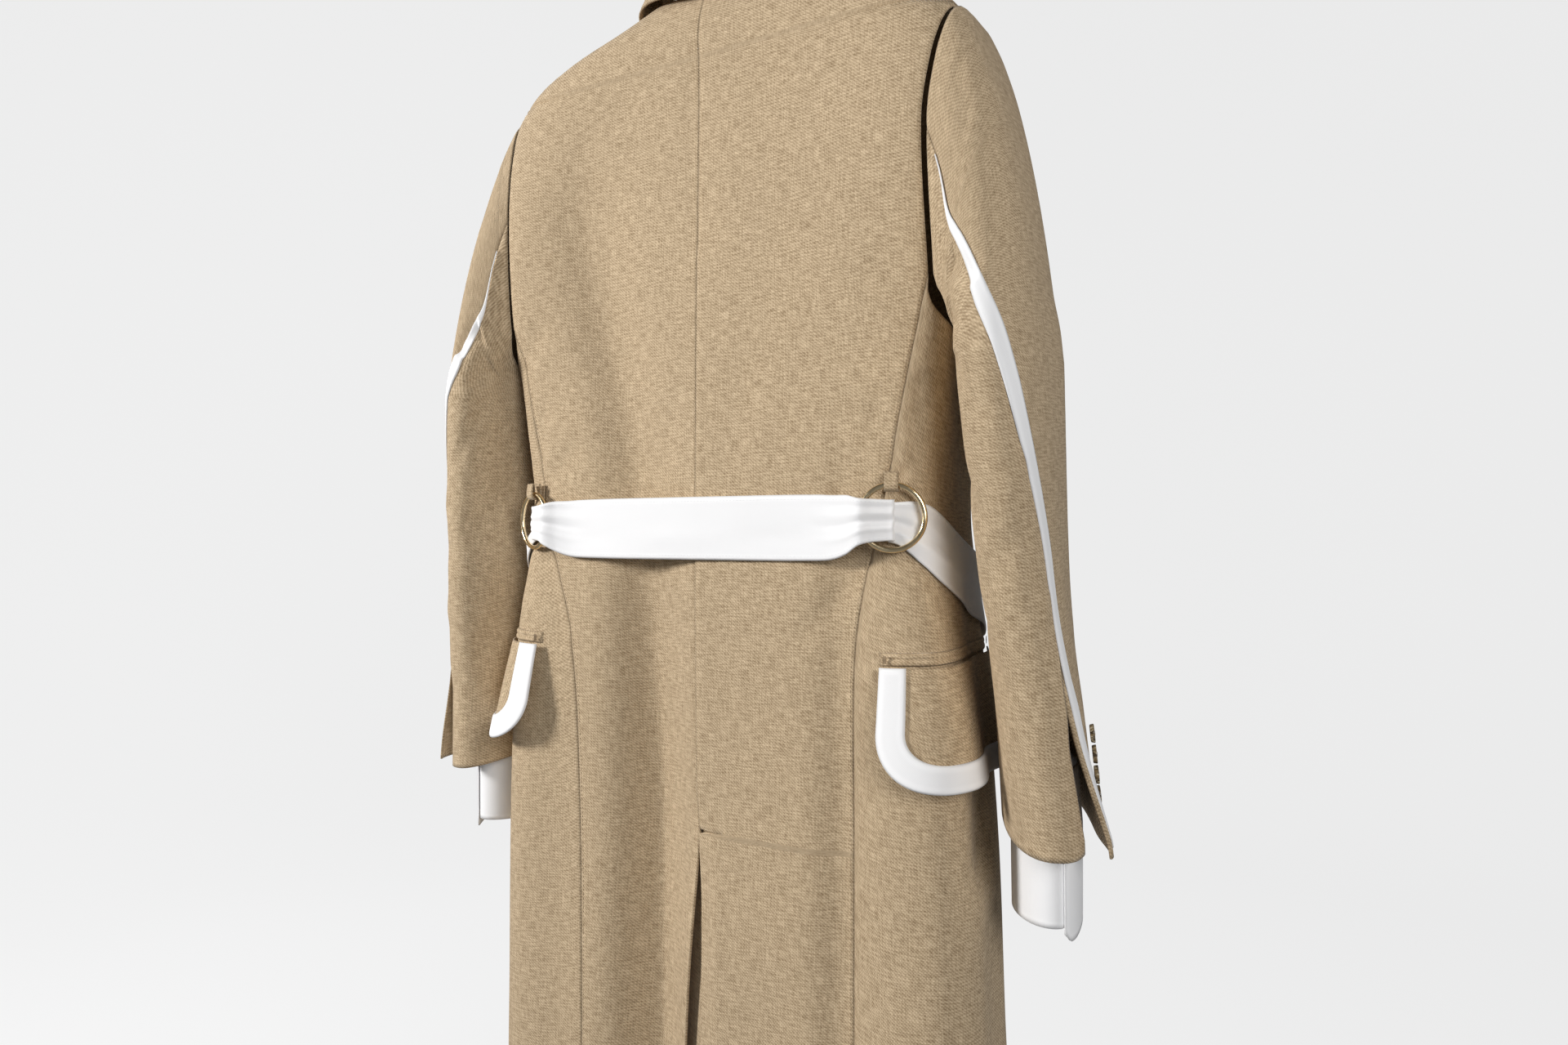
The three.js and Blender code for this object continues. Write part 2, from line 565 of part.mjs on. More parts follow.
// Beyond the rings the sash goes on round the sides, sloping down to the knot: stations by angle.
const sideZ = through(
  [1.1, RING_Z - 2], [1.2, RING_Z - 4], [1.6, BELT - 44], [2.1, BELT - 80], [2.96, BELT - 112],
);
const sideOut = through([1.1, 6.6], [1.165, 3], [1.3, 3.4], [1.6, 4.2], [2.3, 6], [2.96, 11]);
const sideWidth = through([1.1, PINCHED], [1.2, PINCHED], [1.6, 50], [2.6, 50], [2.96, 34]);
const SIDE_TURNS = [1.12, 1.14, 1.17, 1.24, 1.36, 1.5, 1.65, 1.85, 2.1, 2.4, 2.65, 2.85];
for (const [word, side] of SIDES) {
  const where = (v, t) => {
    const angle = SIDE_TURNS[Math.round(t * 11)];
    return [angle, sideZ(angle) + v * sideWidth(angle), sideOut(angle)];
  };
  add(`belt_side_${word}`, patch(side, [-0.5, 0, 0.5], 11, where, COTTON), WHITE);
}
const KNOT_Z = sideZ(2.96);
const knot = add("belt_knot", new THREE.IcosahedronGeometry(1, 3), WHITE);
knot.scale.set(22, 13, 24);
knot.position.set(0, -frontDepth(KNOT_Z) - FRONT_LIFT - 15, KNOT_Z);
const TAIL_ROWS = [-842, -790, -735, -680, -630, -595, KNOT_Z - 26];
const tailX = through([-842, 40], [-680, 32], [-595, 20], [KNOT_Z - 26, 14]);
const tailHalf = through([-842, 24], [-630, 23], [KNOT_Z - 26, 12]);
for (const [word, side] of SIDES) {
  const where = (z, t) => [angleAtX(tailX(z) + lerp(1, -1, t) * tailHalf(z), z, true), z, 9];
  add(`belt_tail_${word}`, patch(side, TAIL_ROWS, 3, where, COTTON), WHITE);
}

export default coat;
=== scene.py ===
# %% [markdown]
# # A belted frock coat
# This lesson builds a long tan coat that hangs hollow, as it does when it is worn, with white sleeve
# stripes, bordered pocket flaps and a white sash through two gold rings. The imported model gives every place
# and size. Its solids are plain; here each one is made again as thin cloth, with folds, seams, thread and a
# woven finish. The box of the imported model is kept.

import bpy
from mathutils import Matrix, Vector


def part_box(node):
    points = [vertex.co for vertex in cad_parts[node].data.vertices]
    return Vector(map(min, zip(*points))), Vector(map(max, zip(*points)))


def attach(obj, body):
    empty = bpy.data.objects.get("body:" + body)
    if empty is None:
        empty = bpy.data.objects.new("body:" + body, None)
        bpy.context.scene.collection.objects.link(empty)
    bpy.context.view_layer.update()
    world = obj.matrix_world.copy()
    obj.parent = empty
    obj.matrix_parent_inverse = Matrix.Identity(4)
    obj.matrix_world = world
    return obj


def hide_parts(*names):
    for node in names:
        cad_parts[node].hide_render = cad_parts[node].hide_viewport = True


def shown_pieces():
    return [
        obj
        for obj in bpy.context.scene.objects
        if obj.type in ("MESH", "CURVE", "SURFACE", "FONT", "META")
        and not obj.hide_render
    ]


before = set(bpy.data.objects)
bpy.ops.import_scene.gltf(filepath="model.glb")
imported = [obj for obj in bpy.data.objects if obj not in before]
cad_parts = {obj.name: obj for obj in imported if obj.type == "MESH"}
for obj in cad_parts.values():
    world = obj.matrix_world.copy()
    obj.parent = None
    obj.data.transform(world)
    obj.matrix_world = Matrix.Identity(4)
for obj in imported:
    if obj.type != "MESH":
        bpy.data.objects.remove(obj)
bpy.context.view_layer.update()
print("packed model:", len(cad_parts), "nodes")

# %% [markdown]
# Tailors think in millimetres and Blender in metres. The sizes here are in millimetres and every mesh is
# made metres by one factor at the end. The heights of the hem, the rings and the sash are read from the
# boxes of the imported nodes, which keeps the cloth on the solids; the pockets and the sleeve hems are typed
# in.

# %% Driving sizes, in millimetres
import bisect
import functools
import math

import bmesh
import bpy
from mathutils import Matrix, Vector

MM = 0.001
QUARTER = math.pi / 2
LEFT, RIGHT = 1, -1
SIDES = (("left", LEFT), ("right", RIGHT))


def height(node, end):
    """The lowest (0) or highest (1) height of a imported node, in millimetres."""
    return round(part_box(node)[end].z / MM, 1)


HEM = height("back_left", 0)
RING_Z = (height("ring_left", 0) + height("ring_left", 1)) / 2
BELT = (height("belt_back", 0) + height("belt_back", 1)) / 2
VENT_TOP = -675
POCKET = -527
ARMPIT = -306
SHOULDER_TIP = -67
NAPE = -10
BREAK = -262
BACK_SEAM_TOP = -262
FRONT_SEAM_TOP = -280
OVERLAP = 24
BELT_WIDTH = 49
CLOTH = 1.7
COTTON = 0.9
print("hem", HEM, "rings", RING_Z, "belt", BELT)

# %% [markdown]
# Cloth never changes size suddenly, so each measure is a smooth curve through a few given stations, like
# the marks on a tailor's pattern. A straight ramp between stations would show as a crease; the curve has
# none. `ease` is a soft step and `bump` a soft ridge, and most folds are made of these two.

# %% Curves, steps and ridges


def through(*stations):
    """A smooth curve through [place, size] stations, in rising order of place."""
    places = [place for place, _ in stations]
    sizes = [size for _, size in stations]
    last = len(stations) - 1
    ends = [(max(i - 1, 0), min(i + 1, last)) for i in range(last + 1)]
    slopes = [(sizes[b] - sizes[a]) / (places[b] - places[a]) for a, b in ends]

    @functools.lru_cache(maxsize=None)
    def size_at(place):
        p = min(max(place, places[0]), places[-1])
        i = min(bisect.bisect_left(places, p, 1) - 1, last - 1)
        h = places[i + 1] - places[i]
        t = (p - places[i]) / h
        u = 1 - t
        ends_part = sizes[i] * (1 + 2 * t) * u * u + sizes[i + 1] * t * t * (3 - 2 * t)
        return ends_part + h * t * u * (slopes[i] * u - slopes[i + 1] * t)

    return size_at


def lerp(a, b, t):
    return a + (b - a) * t


def ease(t, low=0.0, high=1.0):
    t = min(max((t - low) / (high - low), 0), 1)
    return t * t * (3 - 2 * t)


def bump(t, width):
    return math.exp(-((t / width) ** 2))


# %% [markdown]
# The body of the coat is a stack of rounded-box sections, wide at the shoulders, in at the waist and out
# again to the hem. It could be draped by a simulation, but a tailored coat is pressed and padded to a known
# shape, so a drawn form is truer and gives the same coat each time. `bare` is that form: an angle of 0 is
# the middle of the back, a quarter turn the side and a half turn the middle of the front.

# %% The form of the body
half_width = through(
    (HEM, 226), (-835, 216), (VENT_TOP, 212), (POCKET, 202), (-431, 190), (-340, 198), (-262, 209),
    (-158, 213), (-95, 214), (SHOULDER_TIP, 203), (-50, 189), (-36, 164), (-20, 118), (0, 78),
)
back_depth = through(
    (HEM, 92), (-835, 88), (VENT_TOP, 85), (POCKET, 85), (-431, 84), (-262, 80), (-158, 77),
    (-90, 75), (SHOULDER_TIP, 75), (-36, 73), (0, 60),
)
front_depth = through(
    (HEM, 118), (-835, 108), (VENT_TOP, 98), (POCKET, 90), (-431, 84), (-262, 98), (-158, 92),
    (-90, 78), (SHOULDER_TIP, 66), (0, 58),
)
back_box = through((HEM, 6), (VENT_TOP, 7.5), (-158, 7.5), (-90, 6.5), (-36, 4.6), (0, 2.4))
front_box = through((HEM, 2.5), (-90, 2.5), (SHOULDER_TIP, 2.3), (0, 2))


def bare(side, angle, z):
    """A point of the form, before any fold."""
    s, c = math.sin(angle), math.cos(angle)
    n = back_box(z) if c > 0 else front_box(z)
    depth = back_depth(z) if c > 0 else front_depth(z)
    reach = (abs(s / half_width(z)) ** n + abs(c / depth) ** n) ** (-1 / n)
    return Vector((side * reach * s, reach * c, z))


def outward(side, angle, z):
    around = bare(side, angle + 0.02, z) - bare(side, angle - 0.02, z)
    high = min(z + 3, 0)
    up = bare(side, angle, high) - bare(side, angle, high - 6)
    return around.cross(up).normalized() * -side


def angle_at_x(x, z, front=False):
    n = front_box(z) if front else back_box(z)
    depth = -front_depth(z) if front else back_depth(z)
    share = min(abs(x) / half_width(z), 1)
    return math.atan2(x, depth * (1 - share**n) ** (1 / n))


def angle_at_y(y, z):
    n, depth = (back_box(z), back_depth(z)) if y > 0 else (front_box(z), front_depth(z))
    share = min(abs(y) / depth, 1)
    return math.atan2(half_width(z) * (1 - share**n) ** (1 / n), y)


print("waist", round(2 * half_width(-431)), "mm wide")

# %% [markdown]
# Folds come in two sorts. The long ones of the back fall from the shoulder blades and the waist to the hem,
# and each is given by where it runs, how far it stands out and how wide it is on its two sides, since a
# hanging fold is steep on one side and soft on the other. The short ones are creases where the cloth is
# pulled, such as at a ring or an armpit, and each runs from one point to another. Painting folds with a
# noise texture is quicker, but noise doesn't know where a coat is pulled.

# %% Folds and creases
FOLDS = (
    dict(
        x=through((HEM, 58), (VENT_TOP, 54), (-450, 58), (-375, 70), (-195, 114)),
        out=through(
            (HEM, -34), (VENT_TOP, -31), (-520, -24), (-450, -15), (-375, -17), (-195, -9), (-110, 0),
        ),
        inner=40, outer=27,
    ),
    dict(
        x=through((HEM, -124), (VENT_TOP, -126), (-440, -128), (-360, -135)),
        out=through((HEM, -12), (VENT_TOP, -10), (-440, -6), (-330, 0)),
        inner=17, outer=26,
    ),
    dict(
        x=through((HEM, 190), (POCKET, 186), (-262, 196), (-110, 200)),
        out=through((HEM, 8), (VENT_TOP, 10), (POCKET, 6), (-431, 0), (-300, 3), (-160, 4), (-90, 0)),
        inner=34, outer=26,
    ),
)
blade_out = through((-310, 0), (-240, 8), (-158, 13), (-90, 7), (-40, 0))
# Each crease: from (x, z), to (x, z), how far it stands out, and its width.
BACK_CREASES = (
    ((-176, -412), (-150, -352), -3.0, 7), ((-182, -402), (-186, -330), -3.0, 8),
    ((-166, -404), (-128, -372), 1.6, 6), ((-150, -458), (-96, -520), -2.0, 10),
    ((176, -410), (160, -330), -2.0, 9), ((168, -405), (120, -368), -1.8, 8),
    ((160, -460), (134, -530), -2.2, 10), ((36, -395), (22, -330), -1.6, 13),
    ((-30, -400), (-52, -300), -1.4, 16), ((-60, -90), (-120, -130), -1.2, 16),
    ((60, -84), (128, -118), -1.6, 16), ((0, -60), (0, -220), -1.2, 14),
    ((-192, -300), (-150, -250), -3.0, 12), ((192, -300), (158, -262), -3.0, 12),
)
FRONT_CREASES = (
    ((-150, -470), (-60, -440), -2.4, 12), ((150, -470), (64, -436), -2.4, 12),
    ((-120, -520), (-98, -760), -6.0, 26), ((124, -520), (104, -780), -6.5, 26),
    ((-70, -560), (-64, -900), 3.0, 22), ((176, -300), (120, -250), -3.5, 13),
    ((-176, -300), (-122, -244), -3.5, 13), ((40, -380), (60, -300), -1.6, 14),
    ((-150, -640), (-160, -1000), -4.0, 20), ((156, -640), (166, -1000), -4.0, 20),
)
SIDE_CREASES = (
    ((28, -330), (-8, -420), -2.6, 12), ((0, -470), (24, -690), -5.0, 18),
    ((-30, -480), (-44, -900), -4.0, 18), ((44, -700), (40, -1040), 3.5, 20),
)


def creases_at(x, z, creases):
    total = 0
    for (x1, z1), (x2, z2), out, width in creases:
        run = math.hypot(x2 - x1, z2 - z1)
        along = ((x - x1) * (x2 - x1) + (z - z1) * (z2 - z1)) / run
        away = ((x - x1) * (z2 - z1) - (z - z1) * (x2 - x1)) / run
        if abs(away) < 3 * width:
            fade = ease(along, -width, width) * ease(run - along, -width, width)
            total += out * fade * bump(away, width)
    return total


def fold_at(x, z):
    total = blade_out(z) * bump(abs(x) - 185, 75)
    for fold in FOLDS:
        middle = fold["x"](z)
        if x * middle > 0:
            away = abs(x) - abs(middle)
            total += fold["out"](z) * bump(away, fold["inner"] if away < 0 else fold["outer"])
    return total


def on_body(side, angle, z, out=0.0):
    """A point of the cloth, folds and all, moved out by a distance."""
    point = bare(side, angle, z)
    c = math.cos(angle)
    move = out + (fold_at(point.x, z) + creases_at(point.x, z, BACK_CREASES)) * ease(c, 0, 0.25)
    move += creases_at(point.x, z, FRONT_CREASES) * ease(-c, 0, 0.25)
    move += creases_at(point.y, z, SIDE_CREASES) * (1 - ease(abs(c), 0.1, 0.45))
    return point + outward(side, angle, z) * move


print(len(FOLDS), "folds,", len(BACK_CREASES + FRONT_CREASES + SIDE_CREASES), "creases")

# %% [markdown]
# Seams are where a coat gets its shape, so they are drawn before any panel. The princess seams run from the
# armholes over the hips, a narrow side body fills the space under each arm, and the front edges bend
# outwards above the break to become the roll of the lapels.

# %% Seam lines
back_seam_x = through(
    (HEM, 126), (-835, 125), (-600, 128), (POCKET, 133), (-470, 146), (-438, 157), (-345, 175),
    (BACK_SEAM_TOP, 193),
)
seam_swing = through((HEM, -9), (-600, -6), (-438, 0))
arm_back_x = through((BACK_SEAM_TOP, 193), (-158, 190), (-110, 195), (-84, 200), (SHOULDER_TIP, 203))
arm_front_x = through((FRONT_SEAM_TOP, 200), (-200, 176), (-125, 174), (-85, 190), (SHOULDER_TIP, 203))
front_seam_y = through((HEM, -64), (POCKET, -52), (-425, -44), (FRONT_SEAM_TOP, -32))
roll_x = through((BREAK, -OVERLAP), (-200, 22), (-100, 46), (0, 66))


def back_edge(z, side=0):
    if z >= SHOULDER_TIP:
        return QUARTER
    return angle_at_x(arm_back_x(z) if z > BACK_SEAM_TOP else back_seam_x(z) + side * seam_swing(z), z)


def front_side_edge(z):
    if z >= SHOULDER_TIP:
        return QUARTER
    return angle_at_x(arm_front_x(z), z, True) if z > FRONT_SEAM_TOP else angle_at_y(front_seam_y(z), z)


def front_edge(z):
    x = -OVERLAP if z < BREAK else roll_x(z)
    return 2 * math.pi - angle_at_x(-x, z, True) if x < 0 else angle_at_x(x, z, True)


BACK_CORNER = back_edge(BACK_SEAM_TOP)
FRONT_CORNER = front_side_edge(FRONT_SEAM_TOP)


def underarm_z(angle):
    """The height of the armhole under the arm."""
    top, corner = (BACK_SEAM_TOP, BACK_CORNER) if angle < QUARTER else (FRONT_SEAM_TOP, FRONT_CORNER)
    w = min(max((QUARTER - angle) / (QUARTER - corner), 0), 1)
    return top - (top - ARMPIT) * math.sqrt(1 - w * w)


def armhole_angle(z, front):
    top, corner = (FRONT_SEAM_TOP, FRONT_CORNER) if front else (BACK_SEAM_TOP, BACK_CORNER)
    if z >= top:
        return front_side_edge(z) if front else back_edge(z)
    u = min((top - z) / (top - ARMPIT), 1)
    return QUARTER - (QUARTER - corner) * math.sqrt(1 - u * u)


print("back corner of the armhole at", round(math.degrees(BACK_CORNER)), "degrees")

# %% [markdown]
# Every piece of cloth starts as a flat grid, as a cut piece does, and each of its points is put in its
# place. A weave has to run straight along the cut piece and not along the form, so the helper measures the
# grid once it is in place and writes the true lengths into a UV map. It also notes how far each point is
# from the cut edge, which the finishes use for a painted shade along seams and edges. The Solidify modifier
# gives the cloth its thickness, inwards.

# %% Cutting a piece of cloth
cut_size = {}


def finish_mesh(name, bm, node_names=()):
    """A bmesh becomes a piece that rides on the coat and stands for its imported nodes."""
    mesh = bpy.data.meshes.new(name)
    bm.to_mesh(mesh)
    bm.free()
    mesh.shade_smooth()
    piece = bpy.data.objects.new(name, mesh)
    bpy.context.collection.objects.link(piece)
    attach(piece, "root")
    if node_names:
        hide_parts(*node_names)
    return piece


def grid_lengths(bm, across, down):
    """The distances along each row, and up the middle column, of a grid that has been put in place."""
    bm.verts.ensure_lookup_table()
    rows = [bm.verts[i * (across + 1) : (i + 1) * (across + 1)] for i in range(down + 1)]
    along = []
    for row in rows:
        lengths = [0.0]
        for a, b in zip(row, row[1:]):
            lengths.append(lengths[-1] + (b.co - a.co).length)
        along.append(lengths)
    middle = across // 2
    up = [0.0]
    for low, high in zip(rows, rows[1:]):
        up.append(up[-1] + (high[middle].co - low[middle].co).length)
    return rows, along, up


def cloth(name, nodes, across, down, place, thick=CLOTH, turned=False, anchor=0.5, closed=False):
    """place(u, v) gives each point in millimetres: u runs across the piece, and v up it."""
    bm = bmesh.new()
    grain = bm.loops.layers.uv.new("grain")
    edge = bm.verts.layers.float.new("edge")
    bmesh.ops.create_grid(bm, x_segments=across, y_segments=down, size=0.5)
    for vert in bm.verts:
        u, v = (min(max(w + 0.5, 0), 1) for w in vert.co[:2])
        vert.co = place(u, v) * MM
    rows, along, up = grid_lengths(bm, across, down)
    lay = {}
    for i, row in enumerate(rows):
        zero = along[i][round(anchor * across)]
        for j, vert in enumerate(row):
            lay[vert.index] = (-1 if turned else 1) * (along[i][j] - zero), up[i]
            sideways = 1.0 if closed else min(along[i][j], along[i][-1] - along[i][j])
            vert[edge] = min(sideways, up[i], up[-1] - up[i])
    for face in bm.faces:
        for loop in face.loops:
            loop[grain].uv = lay[loop.vert.index]
    cut_size[name] = max(a[-1] for a in along), up[-1], sum(f.calc_area() for f in bm.faces)
    if turned:
        bmesh.ops.reverse_faces(bm, faces=bm.faces)
    if closed:
        bmesh.ops.remove_doubles(bm, verts=bm.verts, dist=1e-6)
    piece = finish_mesh(name, bm, nodes)
    shell = piece.modifiers.new("thickness of the cloth", "SOLIDIFY")
    shell.thickness = thick * MM
    shell.offset = -1
    return piece


def closer_at_edges(t):
    """Spaces the columns of a grid so that they are closest together at its two edges."""
    return lerp(t, ease(t), 0.5)


# %% [markdown]
# A sewn seam is not a line on the surface: the two edges are turned in and pulled down by the thread, and a
# shadow lies between them. So each panel dips by half a millimetre along its edges. The panel helper finds
# its own edges from the seam lines and leaves a hair of space at each.

# %% Panels of the body
SEAM_GAP = 0.08
SEAM_DIP = 0.5


def turn_of(length, angle, z):
    """The turn that a length makes at a place on a section."""
    point = bare(1, angle, z)
    return length / math.hypot(point.x, point.y)


def seam_dip(distance):
    return -SEAM_DIP * (1 - ease(distance, 0, 3.2))


def flat(x, z):
    return 0.0


def panel_place(side, low, high, out=flat, rise=None, dips=(1, 1)):
    def place(u, v):
        z = lerp(HEM, 0, v)
        t = closer_at_edges(u)
        if rise:
            z += rise(t) * ease(z, SHOULDER_TIP, 0)
        first, last = low(z), high(z)
        a = lerp(first + turn_of(SEAM_GAP, first, z), last - turn_of(SEAM_GAP, last, z), t)
        dip = dips[0] * seam_dip((a - first) / turn_of(1, first, z))
        dip += dips[1] * seam_dip((last - a) / turn_of(1, last, z))
        return on_body(side, a, z, out(bare(side, a, z).x * side, z) + dip)

    return place


# %% [markdown]
# The back is two halves with a seam down the middle and a vent below it. The left half laps over the right,
# and as the coat hangs its edge has swung a little aside, so a strip of the lower half shows in its shade.
# That strip is the part that makes the vent read as an opening, so it lies a few millimetres deeper.

# %% Back and vent
VENT_UNDER = 42
vent_spread = through((HEM, 30), (-835, 17), (VENT_TOP, 0))


def vent_lift(x, z):
    return 3.5 * ease(VENT_TOP - z, 0, 120) * bump(x, 45)


def vent_drop(x, z):
    depth = 4 * ease(VENT_TOP + 38 - z, 0, 38) + 3.5 * ease(VENT_TOP - z, 0, 60)
    return -depth * (1 - ease(x, -2, 20))


def nape_dip(t):
    return NAPE * (1 - ease(t))


cloth(
    "cloth_back_left", ["back_left"], 66, 262,
    panel_place(LEFT, lambda z: angle_at_x(vent_spread(z), z) if z < VENT_TOP else 0,
                lambda z: back_edge(z, LEFT), vent_lift, nape_dip),
    turned=True, anchor=0,
)
cloth(
    "cloth_back_right", ["back_right"], 66, 262,
    panel_place(RIGHT, lambda z: angle_at_x(-VENT_UNDER, z) if z < VENT_TOP else 0,
                lambda z: back_edge(z, RIGHT), vent_drop, nape_dip, dips=(0.8, 1)),
    anchor=0,
)
print("back", [round(w, 3) for w in cut_size["cloth_back_left"]])

# %% [markdown]
# The side body is a narrow piece from the armhole to the hem. Its top edge is the lower half of the
# armhole, so the rows of the grid close up towards that curve instead of being cut off by it.

# %% Side bodies
for word, side in SIDES:

    def side_place(u, v):
        top = underarm_z(lerp(BACK_CORNER, FRONT_CORNER, u)) - SEAM_GAP
        z = lerp(HEM, top, v)
        t = closer_at_edges(u)
        first, last = back_edge(z, side), front_side_edge(z)
        a = lerp(first + turn_of(SEAM_GAP, first, z), last - turn_of(SEAM_GAP, last, z), t)
        dip = seam_dip((a - first) / turn_of(1, first, z)) + seam_dip((last - a) / turn_of(1, last, z))
        return on_body(side, a, z, dip + seam_dip((1 - v) * 700))

    cloth(f"cloth_side_body_{word}", [f"side_body_{word}"], 40, 190, side_place, turned=side > 0)
print("side body", [round(w, 3) for w in cut_size["cloth_side_body_left"]])

# %% [markdown]
# The fronts meet in the middle with the left one on top, as the vent at the back has its left edge on top.
# The upper one is lifted by the thickness of the cloth where they overlap.

# %% Fronts
FRONT_LIFT = 3.4


def front_lift(x, z):
    return FRONT_LIFT * (1 - ease(x, 30, 62)) * ease(BREAK + 62 - z, 0, 24)


for word, side in SIDES:
    cloth(
        f"cloth_front_{word}", [f"front_{word}"], 56, 220,
        panel_place(side, front_side_edge, front_edge, front_lift if side > 0 else flat),
        turned=side > 0, anchor=1,
    )
print("front", [round(w, 3) for w in cut_size["cloth_front_left"]])

# %% [markdown]
# A sleeve is a tube that leaves the armhole almost level, turns over the shoulder and then hangs
# flat-sided. It is drawn as rings: 0 along it is the armhole, 1 the biceps and 2 the hem, and between the
# first two each point follows a curve of its own. The small folds at the armpit and the elbow are creases
# in the same way as on the body, in millimetres round the sleeve (0 is its outer side) and down it.

# %% The form of a sleeve
BICEPS = -322
SLEEVE_HEM = -645
sleeve_x = through((SLEEVE_HEM, 260), (-560, 255), (-470, 248), (BICEPS, 241))
sleeve_y = through((SLEEVE_HEM, 24), (-560, 28), (-470, 36), (BICEPS, 42))
sleeve_wide = through((SLEEVE_HEM, 31), (-560, 30), (-470, 28), (BICEPS, 29))
sleeve_deep = through((SLEEVE_HEM, 60), (-560, 62), (-470, 65), (BICEPS, 68))
sleeve_twist = through((SLEEVE_HEM, 0.42), (-560, 0.32), (-470, 0.16), (BICEPS, 0))
SLEEVE_CREASES = (
    ((96, -170), (74, -262), -5.0, 8), ((118, -190), (104, -300), -3.5, 10),
    ((120, -330), (84, -382), -2.2, 9), ((150, -400), (96, -446), -2.4, 10),
    ((60, -452), (112, -492), -1.8, 10), ((20, -352), (24, -560), -1.6, 15),
    ((-20, -300), (-28, -540), 2.0, 16), ((40, -492), (64, -520), 1.4, 8),
    ((44, -402), (66, -428), 1.2, 8), ((150, -500), (110, -560), -2.0, 12),
    ((-60, -150), (-84, -250), -3.0, 12), ((190, -380), (150, -450), -2.5, 12),
    ((40, -60), (46, -130), -1.4, 8), ((10, -40), (8, -120), -1.0, 9),
)


def off_sleeve_middle(side, outwards, back, z):
    """A point off the middle of the sleeve; towards the hem the back of the sleeve turns outwards."""
    twist = sleeve_twist(z) * (0.45 if side > 0 else 1)
    c, s = math.cos(twist), math.sin(twist)
    return Vector((side * (sleeve_x(z) + outwards * c + back * s), sleeve_y(z) + back * c - outwards * s, z))


def sleeve_ring(side, turn, z):
    def rounded(v):
        return math.copysign(abs(v) ** 0.85, v)

    wide, deep = sleeve_wide(z) * rounded(math.cos(turn)), sleeve_deep(z) * rounded(math.sin(turn))
    return off_sleeve_middle(side, wide, deep, z)


def armhole_point(side, turn):
    z = lerp(ARMPIT, SHOULDER_TIP, (1 + math.cos(turn)) / 2)
    angle = armhole_angle(z, math.sin(turn) < 0)
    return bare(side, angle, z) + outward(side, angle, z) * fold_at(side * 200, z) * 0.9


def bare_sleeve(side, turn, along):
    if along > 1:
        return sleeve_ring(side, turn, lerp(BICEPS, SLEEVE_HEM - 11 * math.sin(turn), along - 1))
    start = armhole_point(side, turn) + Vector((side * 3.4, 0, 0))
    end = sleeve_ring(side, turn, BICEPS)
    knee = Vector((lerp(start.x, end.x, 0.7), lerp(start.y, end.y, 0.7), lerp(start.z, end.z, 0.26)))
    return start * (1 - along) ** 2 + knee * 2 * along * (1 - along) + end * along**2


def on_sleeve(side, turn, along, out=0.0):
    point = bare_sleeve(side, turn, along)
    around = bare_sleeve(side, turn + 0.02, along) - bare_sleeve(side, turn - 0.02, along)
    down = bare_sleeve(side, turn, min(along + 0.02, 2)) - bare_sleeve(side, turn, max(along - 0.02, 0))
    out += creases_at(turn * 50, -along * 330 + 4 * side, SLEEVE_CREASES)
    return point + down.cross(around).normalized() * (side * out)


def span_turn(side, turn, along, length):
    """The turn that spans a length round the sleeve."""
    chord = bare_sleeve(side, turn + 0.01, along) - bare_sleeve(side, turn - 0.01, along)
    return length * 0.02 / chord.length


seam_turn = through(
    (0, 1.38), (0.2, 1.5), (0.4, 1.62), (0.6, 1.54), (0.85, 1.36), (1, 1.11), (1.1, 0.93), (1.3, 0.64),
    (1.5, 0.62), (1.7, 0.98), (2, 0.88),
)


def back_turn(along, side):
    """The striped back seam; on the left sleeve it lies a little further back at the elbow."""
    return seam_turn(along) + (0.2 * bump(along - 0.6, 0.5) if side > 0 else 0)


fore_turn = through((0, -1.5), (1, -1.7), (2, -1.8))
print("sleeve", len(SLEEVE_CREASES), "creases")

# %% [markdown]
# Each sleeve is two pieces, as a tailor cuts it: a wide top sleeve and a narrower under sleeve. Their back
# seam is open for the last few centimetres, and there the edge of the top sleeve has sprung away from the
# arm. That flare is made by moving the edge out, most at the hem, and the edge below it is drawn in, which
# leaves a slit.

# %% Sleeves
SLEEVE_VENT = 1.7


def vent_flare(along, distance):
    return 15 * ease(along, SLEEVE_VENT, 2.06) * bump(distance, 17)


def sleeve_place(side, top):
    def place(u, v):
        along = 2 * (1 - v)
        first = back_turn(along, side) if not top else fore_turn(along)
        last = back_turn(along, side) if top else fore_turn(along) + 4 * QUARTER
        low = first + span_turn(side, first, along, SEAM_GAP)
        high = last - span_turn(side, last, along, SEAM_GAP)
        turn = lerp(low, high, closer_at_edges(u))
        start = (turn - first) / span_turn(side, first, along, 1)
        end = (last - turn) / span_turn(side, last, along, 1)
        out = seam_dip(start) + seam_dip(end) + seam_dip(along * 240)
        if top:
            out += vent_flare(along, end) + 1.2 * ease(along, SLEEVE_VENT, 1.75) * bump(end, 6)
        else:
            out -= 3.0 * ease(along, SLEEVE_VENT, 1.8) * bump(start, 16)
        return on_sleeve(side, turn, along, out)

    return place


for word, side in SIDES:
    for part in ("top", "under"):
        cloth(f"cloth_sleeve_{part}_{word}", [f"sleeve_{part}_{word}"], 40, 150,
              sleeve_place(side, part == "top"), turned=side < 0)
print("top sleeve", [round(w, 3) for w in cut_size["cloth_sleeve_top_left"]])

# %% [markdown]
# The white stripe is a strip of cotton let into the back seam. It starts from a point near the armhole,
# widens to the elbow and narrows again beside the slit. A painted stripe would be flat; a strip with its
# own thickness catches a line of light along its edges, and it waves a little, as a sewn strip does where
# the seam is eased.

